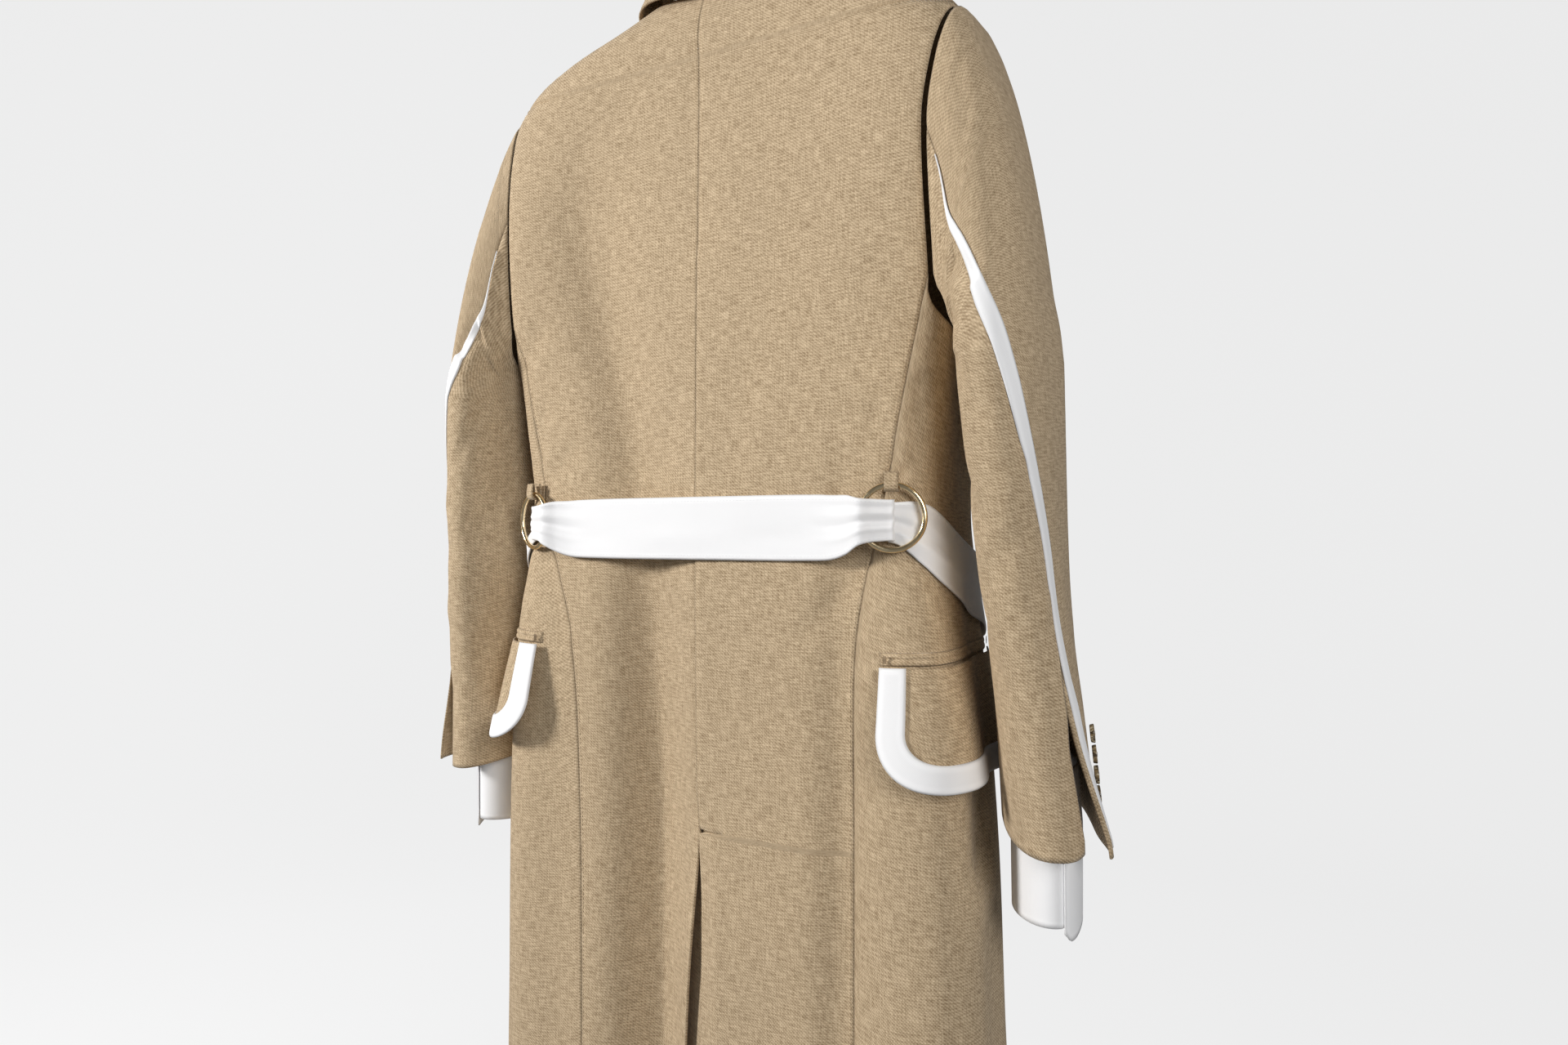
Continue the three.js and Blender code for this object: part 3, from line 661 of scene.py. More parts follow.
# %% Sleeve stripes
STRIPE_TOP, STRIPE_END = 0.14, 1.985
stripe_width = through((STRIPE_TOP, 2), (0.5, 7.6), (1, 13), (1.3, 14.5), (1.74, 9.5), (STRIPE_END, 8))
stripe_wave = through(
    (0.14, 0), (0.6, 0.5), (1.0, -0.7), (1.25, 1.0), (1.4, -0.8), (1.55, 0.9), (1.72, -0.5), (2, 0),
)


def stripe_place(side):
    def place(u, v):
        along = lerp(STRIPE_END, STRIPE_TOP, v)
        width = stripe_width(along)
        shift = stripe_wave(along) - ease(along, 1.5, 1.74) * (width / 2 + 3.5)
        seam = back_turn(along, side)
        distance = (u - 0.5) * width + shift
        turn = seam + span_turn(side, seam, along, distance)
        out = 1.3 - 0.5 * bump(min(u, 1 - u) * width, 0.8) + vent_flare(along, -distance)
        return on_sleeve(side, turn, along, out)

    return place


for word, side in SIDES:
    cloth(
        f"stripe_{word}", [f"sleeve_stripe_{word}"], 8, 220, stripe_place(side),
        thick=COTTON, turned=side < 0,
    )
print("stripe", [round(w, 3) for w in cut_size["stripe_left"]])

# %% [markdown]
# A white inner cuff shows below each sleeve. It is a tube, but a cuff has an opening: one end laps over the
# other at the back and hangs lower, with rounded corners. So the grid goes once round and a little further,
# and its last part is a little wider than its first.

# %% Inner cuffs
def cuff_place(side):
    def place(u, v):
        turn = lerp(-0.06, 4 * QUARTER + 0.16, u) + 1.15
        corner = 7 * (1 - ease(u, 0, 0.04)) + 5 * (1 - ease(1 - u, 0, 0.03))
        low = -709 - 9 * ease(u, 0.82, 0.97) + 5 * ease(u, 0.4, 0.6) * (1 - ease(u, 0.6, 0.8)) + corner
        z = lerp(low, -602, v)
        grow = 1.3 * ease(u, 0.9, 1) - 0.8 * (1 - ease(u, 0, 0.1)) + 0.8 * math.sin(2 * turn + 0.01 * z)
        wide = (sleeve_wide(z) - 6.5 + grow) * math.cos(turn)
        return off_sleeve_middle(side, wide, (41 + grow) * math.sin(turn) - 9, z)

    return place


for word, side in SIDES:
    cloth(f"cuff_{word}", [f"inner_cuff_{word}"], 96, 26, cuff_place(side), thick=COTTON, turned=side < 0)
print("cuff", [round(w, 3) for w in cut_size["cuff_left"]])

# %% [markdown]
# The lapels are the fronts folded outwards, so they are thickest where they roll and flat at their tips.
# The collar is a stand inside the neck with a fall turned down over it, all in one curved sheet.

# %% Lapels and collar
lapel_width = through((-226, 8), (-178, 48), (-120, 76), (-84, 84))


def lapel_place(side):
    def place(u, v):
        t = u
        z = lerp(-226, -84 + 34 * t, v)
        x = roll_x(z) + 1 + lapel_width(z) * (1 - t)
        lift = FRONT_LIFT * ease(-z, 188, 215) if side > 0 else 0
        roll, tip = 2.2 * bump(1 - t, 0.2), 0.9 * bump(t, 0.06)
        return on_body(side, angle_at_x(x, z, True), z, 4.4 + lift + roll - tip)

    return place


for word, side in SIDES:
    cloth(f"cloth_lapel_{word}", [f"lapel_{word}"], 30, 50, lapel_place(side), turned=side < 0)

COLLAR_REACH = 2.2
collar_out = through((0, -5), (0.3, -3.5), (0.4, 0), (0.5, 5), (0.75, 12), (1, 18))
collar_z = through((0, 2), (0.3, 26), (0.4, 31), (0.5, 28), (0.75, 10), (1, -4))


def collar_place(u, v):
    angle, down = lerp(-COLLAR_REACH, COLLAR_REACH, u), lerp(0.99, 0.01, v)
    foot = bare(LEFT, angle, 0)
    away = foot.normalized()
    drop = 11 * (1 - ease(abs(angle), 0, 1))
    wave = 0.8 * math.sin(angle * 3.1) * ease(down, 0.5, 1)
    point = foot + away * (collar_out(down) + wave)
    point.z = collar_z(down) - drop
    return point


cloth("cloth_collar", ["collar"], 110, 30, collar_place, turned=True)
print("collar", [round(w, 3) for w in cut_size["cloth_collar"]])

# %% [markdown]
# Each hip pocket has a jet, which is a narrow fold of cloth over the slit, and a flap with a white border.
# The flap hangs from its top edge and stands away from the coat as it falls, most at its round back corner,
# and that is what throws its shadow. The border follows a path down the back edge, round the corner and
# along the bottom. The flap's own cloth runs a little way under the border, as it would if the border were
# sewn on.

# %% Where the pockets lie
POCKET_LENGTH = 150
WELT = 8
FLAP_DROP = 84
FLAP_ROUND = 40
BORDER = 18
POCKET_START = angle_at_x(160, POCKET)


@functools.lru_cache(maxsize=None)
def pocket_angles():
    """The angle at each millimetre along the pocket, from two before its back end."""
    angles, angle = {0: POCKET_START}, POCKET_START
    for side_step in (1, -1):
        angle = POCKET_START
        for n in range(1, 160 if side_step > 0 else 6):
            angle += side_step * turn_of(1, angle, POCKET)
            chord = (bare(1, angle, POCKET) - bare(1, angles[side_step * (n - 1)], POCKET)).length
            angle = angles[side_step * (n - 1)] + (angle - angles[side_step * (n - 1)]) / chord
            angles[side_step * n] = angle
    return angles


def along_pocket(distance):
    whole = math.floor(distance)
    angles = pocket_angles()
    return lerp(angles[whole], angles[whole + 1], distance - whole)


def pocket_rise(distance):
    return 4 * distance / POCKET_LENGTH


def flap_out(distance, drop):
    belly = 1.6 * math.sin(math.pi * min(distance / POCKET_LENGTH, 1)) * drop / FLAP_DROP
    return 5 + drop / FLAP_DROP * lerp(16, 6, ease(distance, 20, 110)) - belly


def on_flap(side, distance, drop, out=0.0):
    z = POCKET - WELT - 1.5 + pocket_rise(distance) - drop
    return on_body(side, along_pocket(distance), z, flap_out(distance, drop) + out)


def lower_edge(distance, inset):
    away = max(FLAP_ROUND - distance, 0)
    return FLAP_DROP - FLAP_ROUND + math.sqrt(max((FLAP_ROUND - inset) ** 2 - away**2, 0))


def border_point(path, inset):
    """Distance along the pocket and drop, at a place on the border's path."""
    straight, arc = FLAP_DROP - FLAP_ROUND, FLAP_ROUND * QUARTER
    if path < straight:
        return inset, path
    if path > straight + arc:
        return FLAP_ROUND + path - straight - arc, FLAP_DROP - inset
    turn, radius = (path - straight) / FLAP_ROUND, FLAP_ROUND - inset
    return FLAP_ROUND - radius * math.cos(turn), straight + radius * math.sin(turn)


BORDER_PATH = FLAP_DROP - FLAP_ROUND + FLAP_ROUND * QUARTER + POCKET_LENGTH - FLAP_ROUND
print("pocket mouth from", round(math.degrees(POCKET_START)), "degrees")
print("border", round(BORDER_PATH), "mm long")

# %% Jets, flaps and borders
def jet_place(side):
    def place(u, v):
        distance = lerp(-2, POCKET_LENGTH, u)
        z = POCKET + pocket_rise(distance) + 0.8 - (WELT + 1.6) * (1 - v)
        swell = (1 - abs(2 * v - 1) ** 5) * ease(min(u, 1 - u), 0, 0.05) - 0.7 * bump(v - 0.52, 0.09)
        return on_body(side, along_pocket(distance), z, 0.2 + 1.5 * swell)

    return place


def flap_place(side):
    def place(u, v):
        distance = lerp(BORDER - 3, POCKET_LENGTH, u)
        return on_flap(side, distance, (1 - v) * lower_edge(distance, BORDER - 3), -0.7)

    return place


def border_place(side):
    def place(u, v):
        distance, drop = border_point(u * BORDER_PATH, BORDER * (1 - v))
        return on_flap(side, distance, drop, 0.5 - 0.9 * (1 - ease(min(v, 1 - v) * BORDER, 0, 2)))

    return place


for word, side in SIDES:
    facing_in = side > 0
    cloth(f"cloth_jet_{word}", [f"pocket_welt_{word}"], 60, 10, jet_place(side), turned=facing_in)
    cloth(
        f"cloth_flap_{word}", [f"pocket_flap_{word}"], 50, 34, flap_place(side), thick=1.2, turned=facing_in,
    )
    cloth(f"border_{word}", [f"flap_border_{word}"], 90, 12, border_place(side), thick=1.2, turned=facing_in)
print("flap", [round(w, 3) for w in cut_size["cloth_flap_left"]])

# %% [markdown]
# The sash is a band of white cotton that goes across the back, through a gold ring at each side and round
# to the front. Where it goes through a ring it is squeezed to little more than half its width, so it
# gathers into creases that run along it and die away within a hand's width. The creases are ridges whose
# number stays the same while the band narrows, which is what gathered cloth does.

# %% The sash across the back
PINCHED = 29
belt_y = through((0, 89), (90, 89), (120, 90), (136, 93), (149, 98), (158, 93), (166, 88.5), (173, 85))
belt_width = through((0, BELT_WIDTH), (112, BELT_WIDTH - 1), (136, 43), (152, PINCHED + 3), (167, PINCHED))
SASH_CREASES = ((0.31, 1.0), (0.52, -1.4), (0.68, 0.9), (0.84, -0.8))


def belt_place(u, v):
    x = lerp(-172, 172, u)
    far = abs(x)
    gather = ease(far, 96, 150)
    z = lerp(BELT, RING_Z - 2, ease(far, 120, 160)) + (v - 0.5) * belt_width(far)
    sag = 0.8 * math.sin(x / 47) + 0.6 * bump(v - 0.35, 0.16) * math.sin(x / 31 + 1)
    crease = sum(size * bump(v - middle - 0.02 * math.sin(x / 19), 0.05) for middle, size in SASH_CREASES)
    edge = -0.7 * (1 - ease(min(v, 1 - v) * 49, 0, 1.6))
    return Vector((x, belt_y(far) + sag * (1 - gather) + crease * gather + edge, z))


cloth("sash_back", ["belt_back"], 190, 26, belt_place, thick=COTTON, turned=True)
print("sash", [round(w, 3) for w in cut_size["sash_back"]])

# %% [markdown]
# Beyond the rings the sash is slack. It drops steeply, twists a little so that a fold runs along it, and
# goes round the sides to the knot at the front, where it is gathered again.

# %% The sash round the sides, its knot and its tails
side_z = through(
    (1.1, RING_Z - 2), (1.16, RING_Z - 6), (1.3, RING_Z - 23), (1.6, BELT - 44), (2.1, BELT - 80),
    (2.96, BELT - 112),
)
side_out = through((1.1, 6.6), (1.165, 3), (1.3, 3.4), (1.6, 4.2), (2.3, 6), (2.96, 11))
side_width = through((1.1, PINCHED), (1.14, 30), (1.2, 43), (1.28, 52), (1.6, 53), (2.6, 50), (2.96, 34))
side_turn = through((0, 1.12), (0.08, 1.17), (0.25, 1.36), (0.5, 1.75), (0.75, 2.25), (1, 2.85))


def strap_place(side):
    def place(u, v):
        angle = side_turn(u)
        gather = max(1 - ease(angle, 1.16, 1.5), ease(angle, 2.5, 2.85))
        crease = sum(size * bump(v - middle, 0.06) for middle, size in SASH_CREASES) * gather
        twist = 3.2 * bump(v - lerp(0.25, 0.9, ease(angle, 1.15, 1.9)), 0.16) * (1 - ease(angle, 1.8, 2.2))
        edge = -0.6 * (1 - ease(min(v, 1 - v) * 49, 0, 1.6))
        z = side_z(angle) + (v - 0.5) * side_width(angle)
        return on_body(side, angle, z, side_out(angle) + crease + twist * 0.6 + edge)

    return place


for word, side in SIDES:
    cloth(
        f"sash_side_{word}", [f"belt_side_{word}"], 150, 24, strap_place(side), thick=COTTON, turned=side > 0,
    )

KNOT_Z = side_z(2.96)
KNOT_Y = -front_depth(KNOT_Z) - FRONT_LIFT - 15


def knot_place(u, v):
    turn = 4 * QUARTER * u
    across = 2 * v - 1
    swell = 1 - 0.42 * abs(across) ** 3 + 0.05 * math.cos(across * 11)
    swell += 0.03 * math.sin(2 * turn + across * 5)
    x = 18 * across + 2 * math.sin(turn)
    return Vector((x, KNOT_Y + 11.5 * swell * math.sin(turn), KNOT_Z + 22 * swell * math.cos(turn)))


cloth("sash_knot", ["belt_knot"], 96, 40, knot_place, thick=COTTON, turned=True, closed=True)

tail_x = through((-842, 40), (-680, 32), (-595, 20), (KNOT_Z - 26, 14))
tail_half = through((-842, 24), (-630, 23), (KNOT_Z - 26, 12))


def tail_place(side):
    def place(u, v):
        z = lerp(-842 + 10 * u, KNOT_Z - 18, v)
        x = tail_x(z) + (1 - 2 * u) * tail_half(z)
        ripple = 2.6 * math.sin(u * 5 + z / 60) * ease(v, 0, 0.4) + 1.5 * math.sin(z / 34 + side)
        return on_body(side, angle_at_x(x, z, True), z, 9 + ripple)

    return place


for word, side in SIDES:
    cloth(
        f"sash_tail_{word}", [f"belt_tail_{word}"], 20, 110, tail_place(side), thick=COTTON, turned=side < 0,
    )
print("sash side", [round(w, 3) for w in cut_size["sash_side_left"]])

# %% [markdown]
# The rings are plain round wire. A wire ring is a small circle swept round a large one, and `spin` does
# just that. The small circle starts beside the axis, and the full turn is merged where it meets itself.

# %% Gold rings and their tabs
RING_LEAN = 0.35
RING_RADIUS, WIRE = 23, 2
for word, side in SIDES:
    low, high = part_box(f"ring_{word}")
    middle = (low + high) / 2
    bm = bmesh.new()
    bmesh.ops.create_circle(bm, cap_ends=False, segments=16, radius=WIRE * MM)
    beside = Matrix.Translation((RING_RADIUS * MM, 0, 0)) @ Matrix.Rotation(QUARTER, 4, "X")
    bmesh.ops.transform(bm, verts=bm.verts, matrix=beside)
    bmesh.ops.spin(
        bm, geom=bm.verts[:] + bm.edges[:], axis=(0, 0, 1), cent=(0, 0, 0), steps=72, angle=4 * QUARTER,
        use_merge=True,
    )
    bmesh.ops.remove_doubles(bm, verts=bm.verts, dist=1e-6)
    upright = Matrix.Rotation(-side * RING_LEAN, 4, "Z") @ Matrix.Rotation(QUARTER, 4, "X")
    bmesh.ops.transform(bm, verts=bm.verts, matrix=Matrix.Translation(middle) @ upright)
    bmesh.ops.recalc_face_normals(bm, faces=bm.faces)
    finish_mesh(f"gold_ring_{word}", bm, [f"ring_{word}"])

tab_out = through((0, 3.8), (0.3, 4.8), (0.42, 3.9), (0.5, 0), (0.58, -3.9), (0.7, -4.8), (1, -3.8))
tab_rise = through((0, 9), (0.3, 1), (0.42, -3.4), (0.5, -5.0), (0.58, -3.4), (0.7, 1), (1, 9))


def tab_place(side):
    run = Vector((side * math.cos(RING_LEAN), -math.sin(RING_LEAN), 0))
    face = Vector((side * math.sin(RING_LEAN), math.cos(RING_LEAN), 0))
    low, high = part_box(f"ring_{word}")
    middle = (low + high) / 2 / MM

    def place(u, v):
        return middle + Vector((0, 0, RING_RADIUS + tab_rise(v))) + run * lerp(-5, 5, u) + face * tab_out(v)

    return place


for word, side in SIDES:
    cloth(f"cloth_tab_{word}", [f"ring_tab_{word}"], 8, 44, tab_place(side), thick=1.3, turned=side < 0)
print("rings", round(2 * (RING_RADIUS + WIRE)), "mm across")

# %% [markdown]
# A horn button is turned on a lathe: a disc with a soft rim and a shallow dish, sewn on through its middle.
# A cone with its two ends nearly the same size gives the slightly tapered side; the bevel rounds the rim,
# and an inset with a small push makes the dish. All the buttons are made by the same few steps at two
# sizes.

# %% Horn buttons
CUFF_BUTTONS = (1.79, 1.835, 1.88, 1.925)
FRONT_BUTTONS = (-282, -362, -442)
button_places = []


def button(name, node, radius, thick, centre, facing):
    bm = bmesh.new()
    bmesh.ops.create_cone(bm, cap_ends=True, segments=28, radius1=radius * 0.92, radius2=radius, depth=thick)
    rims = [e for e in bm.edges if abs(e.verts[0].co.z - e.verts[1].co.z) < 1e-6]
    bmesh.ops.bevel(bm, geom=rims, offset=thick * 0.22, segments=3, profile=0.5, affect="EDGES", material=-1)
    dish = [f for f in bm.faces if f.normal.z > 0.99 and len(f.verts) > 4]
    bmesh.ops.inset_region(bm, faces=dish, thickness=radius * 0.2)
    bmesh.ops.inset_region(bm, faces=dish, thickness=radius * 0.08, depth=-thick * 0.16)
    turn = facing.to_track_quat("Z", "Y").to_matrix().to_4x4()
    place = Matrix.Translation((centre + facing * (thick / 2 + 0.9)) * MM)
    bmesh.ops.transform(bm, verts=bm.verts, matrix=place @ turn @ Matrix.Scale(MM, 4))
    finish_mesh(name, bm, [node])
    button_places.append((centre + facing * (thick + 0.8), facing, radius))


for word, side in SIDES:
    for i, along in enumerate(CUFF_BUTTONS):
        turn = back_turn(along, side) - 0.75
        spot = on_sleeve(side, turn, along, 1.5)
        facing = (on_sleeve(side, turn, along, 2.5) - spot).normalized()
        button(f"horn_cuff_{word}_{i + 1}", f"cuff_button_{word}_{i + 1}", 6.5, 3, spot, facing)
for i, z in enumerate(FRONT_BUTTONS):
    spot = on_body(LEFT, 2 * QUARTER, z, FRONT_LIFT)
    facing = (on_body(LEFT, 2 * QUARTER, z, FRONT_LIFT + 1) - spot).normalized()
    button(f"horn_front_{i + 1}", f"front_button_{i + 1}", 11, 4, spot, facing)
print(len(button_places), "buttons")

# %% [markdown]
# Thread is what holds a coat together, and close up it shows as rows of tiny stitches, each sunk a little
# into the cloth. They could be drawn in a texture, but then they lie flat and slide where the cloth bends.
# Here each stitch is a small stretched ball laid along the line of sewing, with few faces, and all the
# stitches of one colour are one mesh.

# %% Rows of stitches
def stitch(bm, middle, along, length, radius):
    turn = along.to_track_quat("X", "Z").to_matrix().to_4x4()
    size = Matrix.Diagonal((length / 2, radius, radius, 1))
    place = Matrix.Translation(middle * MM) @ turn @ Matrix.Scale(MM, 4) @ size
    bmesh.ops.create_icosphere(bm, subdivisions=1, radius=1, matrix=place)


def sew(bm, points, spacing=3.4, length=2.3, radius=0.27):
    """Lays stitches along a line of points, in millimetres."""
    left = spacing / 2
    for a, b in zip(points, points[1:]):
        run = (b - a).length
        while left < run:
            stitch(bm, a.lerp(b, left / run), b - a, length, radius)
            left += spacing
        left -= run


def line(place, start, end, steps=60):
    """Points on a piece of cloth from one (u, v) to another."""
    shares = [i / steps for i in range(steps + 1)]
    return [place(lerp(start[0], end[0], t), lerp(start[1], end[1], t)) for t in shares]


def beside_seam(side, low, high, distance, top):
    """Points that follow the seam between back and side body, a little way from it."""
    heights = [lerp(low, high, i / 160) for i in range(161)]
    turns = [top(z) + turn_of(distance, top(z), z) for z in heights]
    return [on_body(side, a, z, seam_dip(abs(distance)) + 0.1) for a, z in zip(turns, heights)]


tan_thread, white_thread = bmesh.new(), bmesh.new()
for word, side in SIDES:
    beside = beside_seam(side, HEM + 6, BACK_SEAM_TOP, -1.5, lambda z: back_edge(z, side))
    sew(tan_thread, beside, 3.6, 2.2, 0.24)
    lapel, border, strap = lapel_place(side), border_place(side), strap_place(side)
    sew(tan_thread, line(lapel, (0.05, 0.05), (0.05, 0.94)))
    sew(tan_thread, line(lapel, (0.05, 0.94), (0.95, 0.94)))
    sew(white_thread, line(border, (0.004, 0.9), (0.996, 0.9), 160), 2.8, 1.9, 0.22)
    sew(white_thread, line(border, (0.004, 0.1), (0.996, 0.1), 160), 2.8, 1.9, 0.22)
    for v in (0.07, 0.93):
        sew(white_thread, line(strap, (0.01, v), (0.99, v), 140), 3.0, 2.0, 0.22)
    vent = [sleeve_place(side, True)(0.992, 1 - along / 2) for along in (1.73, 1.78, 1.84, 1.9, 1.95, 1.99)]
    sew(tan_thread, vent, 2.8, 1.9, 0.26)
    for end in (2, POCKET_LENGTH - 4):
        for n in range(4):
            spot = on_body(side, along_pocket(end + n * 0.7), POCKET + pocket_rise(end) - WELT / 2, 3.5)
            stitch(tan_thread, spot, Vector((0, 0, 1)), 7, 0.35)
for v in (0.07, 0.93):
    sew(white_thread, line(belt_place, (0.01, v), (0.99, v), 200), 3.0, 2.0, 0.22)
sew(tan_thread, line(collar_place, (0.02, 0.07), (0.98, 0.07), 160))
front_heights = range(-1040, -270, 6)
front_turns = [front_edge(z) - turn_of(6, math.pi, z) for z in front_heights]
sew(tan_thread, [on_body(LEFT, a, z, FRONT_LIFT + 0.1) for a, z in zip(front_turns, front_heights)])
for z in FRONT_BUTTONS:
    for rise in (-1.2, 1.2):
        turns = [2 * QUARTER + 0.02 + n * 0.004 for n in range(-8, 24)]
        hole = [on_body(LEFT, a, z + rise, FRONT_LIFT + 0.2) for a in turns]
        sew(tan_thread, hole, 0.9, 1.2, 0.35)
for middle, facing, radius in button_places:
    across = facing.orthogonal().normalized() * radius * 0.16
    for gap in (across, -across):
        stitch(tan_thread, middle + gap, facing.cross(across), radius * 0.62, 0.45)
thread_pieces = [finish_mesh("thread_tan", tan_thread), finish_mesh("thread_white", white_thread)]
print("stitches:", [len(p.data.polygons) // 20 for p in thread_pieces])

# %% [markdown]
# Shader node groups hold the effects that several finishes share. Building a group takes the same few calls
# each time, so two small helpers come first: one makes the group with its named sockets, and one adds a
# sum.

# %% Helpers for shader nodes
def new_group(name, inputs, outputs):
    tree = bpy.data.node_groups.new(name, "ShaderNodeTree")
    for label, kind, value in inputs:
        socket = tree.interface.new_socket(name=label, in_out="INPUT", socket_type=kind)
        if value is not None:
            socket.default_value = value
    for label, kind in outputs:
        tree.interface.new_socket(name=label, in_out="OUTPUT", socket_type=kind)
    return tree, tree.nodes.new("NodeGroupInput").outputs, tree.nodes.new("NodeGroupOutput").inputs


def feed(tree, socket, value):
    if isinstance(value, bpy.types.NodeSocket):
        tree.links.new(value, socket)
    else:
        socket.default_value = value


def calc(tree, operation, *values):
    node = tree.nodes.new("ShaderNodeMath")
    node.operation = operation
    for socket, value in zip(node.inputs, values):
        feed(tree, socket, value)
    return node.outputs[0]


def noise(tree, vector, stretch, detail=2.0, roughness=0.5):
    """A noise whose grains are stretched: stretch gives how many there are in a metre, each way."""
    mapping = tree.nodes.new("ShaderNodeMapping")
    mapping.inputs["Scale"].default_value = stretch
    tree.links.new(vector, mapping.inputs["Vector"])
    node = tree.nodes.new("ShaderNodeTexNoise")
    node.inputs["Scale"].default_value = 1
    node.inputs["Detail"].default_value = detail
    node.inputs["Roughness"].default_value = roughness
    tree.links.new(mapping.outputs[0], node.inputs["Vector"])
    return node.outputs["Fac"]


def ramp(tree, value, low, high, to_low=0.0, to_high=1.0):
    node = tree.nodes.new("ShaderNodeMapRange")
    node.interpolation_type = "SMOOTHSTEP"
    for label, number in (("From Min", low), ("From Max", high), ("To Min", to_low), ("To Max", to_high)):
        node.inputs[label].default_value = number
    tree.links.new(value, node.inputs["Value"])
    return node.outputs["Result"]


# %% [markdown]
# The coat is a fine twill: its threads step sideways row by row, so it shows slanting ribs. The yarn is
# spun from fibres of several tans and has thick places, called slubs, which show as short light and dark
# flecks along both directions of the weave. A wave gives the ribs, a second one cuts them into threads, and
# two stretched noises give the slubs. All of it follows the true lengths in the UV map.

# %% Node group: twill
def twill_group():
    tree, given, out = new_group(
        "twill weave",
        [("Grain", "NodeSocketVector", None), ("Rib", "NodeSocketFloat", 0.0018)],
        [("Height", "NodeSocketFloat"), ("Fleck", "NodeSocketFloat")],
    )
    split = tree.nodes.new("ShaderNodeSeparateXYZ")
    tree.links.new(given["Grain"], split.inputs[0])
    u, v = split.outputs[0], split.outputs[1]
    slant = calc(tree, "ADD", calc(tree, "MULTIPLY", u, 0.616), calc(tree, "MULTIPLY", v, 0.788))
    steep = calc(tree, "SUBTRACT", calc(tree, "MULTIPLY", u, 0.788), calc(tree, "MULTIPLY", v, 0.616))
    wobble = calc(tree, "MULTIPLY", noise(tree, given["Grain"], (160, 160, 1)), 1.1)
    phase = calc(tree, "ADD", calc(tree, "DIVIDE", slant, given["Rib"]), wobble)
    rib = calc(tree, "MULTIPLY_ADD", calc(tree, "SINE", calc(tree, "MULTIPLY", phase, 2 * math.pi)), 0.5, 0.5)
    cut = calc(tree, "DIVIDE", steep, calc(tree, "MULTIPLY", given["Rib"], 0.8))
    steps = calc(tree, "SINE", calc(tree, "MULTIPLY", cut, 2 * math.pi))
    threads = calc(tree, "MULTIPLY_ADD", steps, 0.25, 0.75)
    height = calc(tree, "MULTIPLY", rib, threads)
    weft = ramp(tree, noise(tree, given["Grain"], (95, 820, 1)), 0.3, 0.72)
    warp = ramp(tree, noise(tree, given["Grain"], (820, 80, 1)), 0.3, 0.72)
    fleck = calc(tree, "MULTIPLY_ADD", weft, 0.36, calc(tree, "MULTIPLY", warp, 0.26))
    fleck = calc(tree, "MULTIPLY_ADD", height, 0.42, fleck)
    tree.links.new(height, out["Height"])
    tree.links.new(fleck, out["Fleck"])
    return tree


twill = twill_group()
print("group:", twill.name, len(twill.nodes), "nodes")

# %% [markdown]
# Two effects are shared by the tan cloth and the white cotton. Near a seam or a cut edge the colour is
# darkened by a painted shade, standing in for the shadow in the seam's hollow; just inside that a narrow band
# is a little lighter, as rubbed wear. And no cloth is one colour over a metre: handling and light dust leave
# it slightly uneven in wide soft patches.

# %% Node groups: painted seam shade and soft patches
def edge_group():
    tree, given, out = new_group(
        "pressed edge",
        [("Distance", "NodeSocketFloat", 1.0), ("Depth", "NodeSocketFloat", 0.12)],
        [("Shade", "NodeSocketFloat")],
    )
    # Painted shade: the colour darkens within two millimetres of a seam or cut edge, where shadow falls in
    # the seam; the lighter band beside it is rubbed wear.
    painted_seam_shade = calc(tree, "MULTIPLY", ramp(tree, given["Distance"], 0.0002, 0.0017, 1, 0), given["Depth"])
    near = ramp(tree, given["Distance"], 0.001, 0.0025)
    far = ramp(tree, given["Distance"], 0.003, 0.006, 1, 0)
    rubbed = calc(tree, "MULTIPLY", calc(tree, "MULTIPLY", near, far), 0.05)
    tree.links.new(calc(tree, "ADD", calc(tree, "SUBTRACT", 1.0, painted_seam_shade), rubbed), out["Shade"])
    return tree


def patch_group():
    tree, given, out = new_group(
        "soft patches",
        [("Place", "NodeSocketVector", None), ("Amount", "NodeSocketFloat", 0.1)],
        [("Shade", "NodeSocketFloat")],
    )
    patch = calc(tree, "SUBTRACT", noise(tree, given["Place"], (9, 9, 6), 3.0, 0.6), 0.5)
    tree.links.new(calc(tree, "MULTIPLY_ADD", patch, given["Amount"], 1.0), out["Shade"])
    return tree


seam_shade_and_rub, soft_patches = edge_group(), patch_group()
print("groups:", seam_shade_and_rub.name, "and", soft_patches.name)

# %% [markdown]
# The cotton of the sash, the cuffs and the trims is a fine plain weave, over and under by turns. At arm's
# length it is nearly smooth, so its bump is slight and its colour changes by only a few parts in a hundred.

# %% Node group: plain weave
def plain_group():
    tree, given, out = new_group(
        "plain weave",
        [("Grain", "NodeSocketVector", None), ("Pitch", "NodeSocketFloat", 0.0007)],
        [("Height", "NodeSocketFloat"), ("Crumple", "NodeSocketFloat")],
    )
    split = tree.nodes.new("ShaderNodeSeparateXYZ")
    tree.links.new(given["Grain"], split.inputs[0])
    waves = [
        calc(tree, "SINE", calc(tree, "MULTIPLY", calc(tree, "DIVIDE", way, given["Pitch"]), 2 * math.pi))
        for way in split.outputs[:2]
    ]
    weave = calc(tree, "MULTIPLY_ADD", calc(tree, "MULTIPLY", *waves), 0.5, 0.5)
    crumple = noise(tree, given["Grain"], (46, 46, 1), 3.0, 0.55)
    tree.links.new(weave, out["Height"])
    tree.links.new(crumple, out["Crumple"])
    return tree


plain = plain_group()
print("group:", plain.name, len(plain.nodes), "nodes")

# %% [markdown]
# A material starts from the Principled shader. The helper makes one with its plain numbers set on the
# shader's own sockets, and places a group by name with its values.

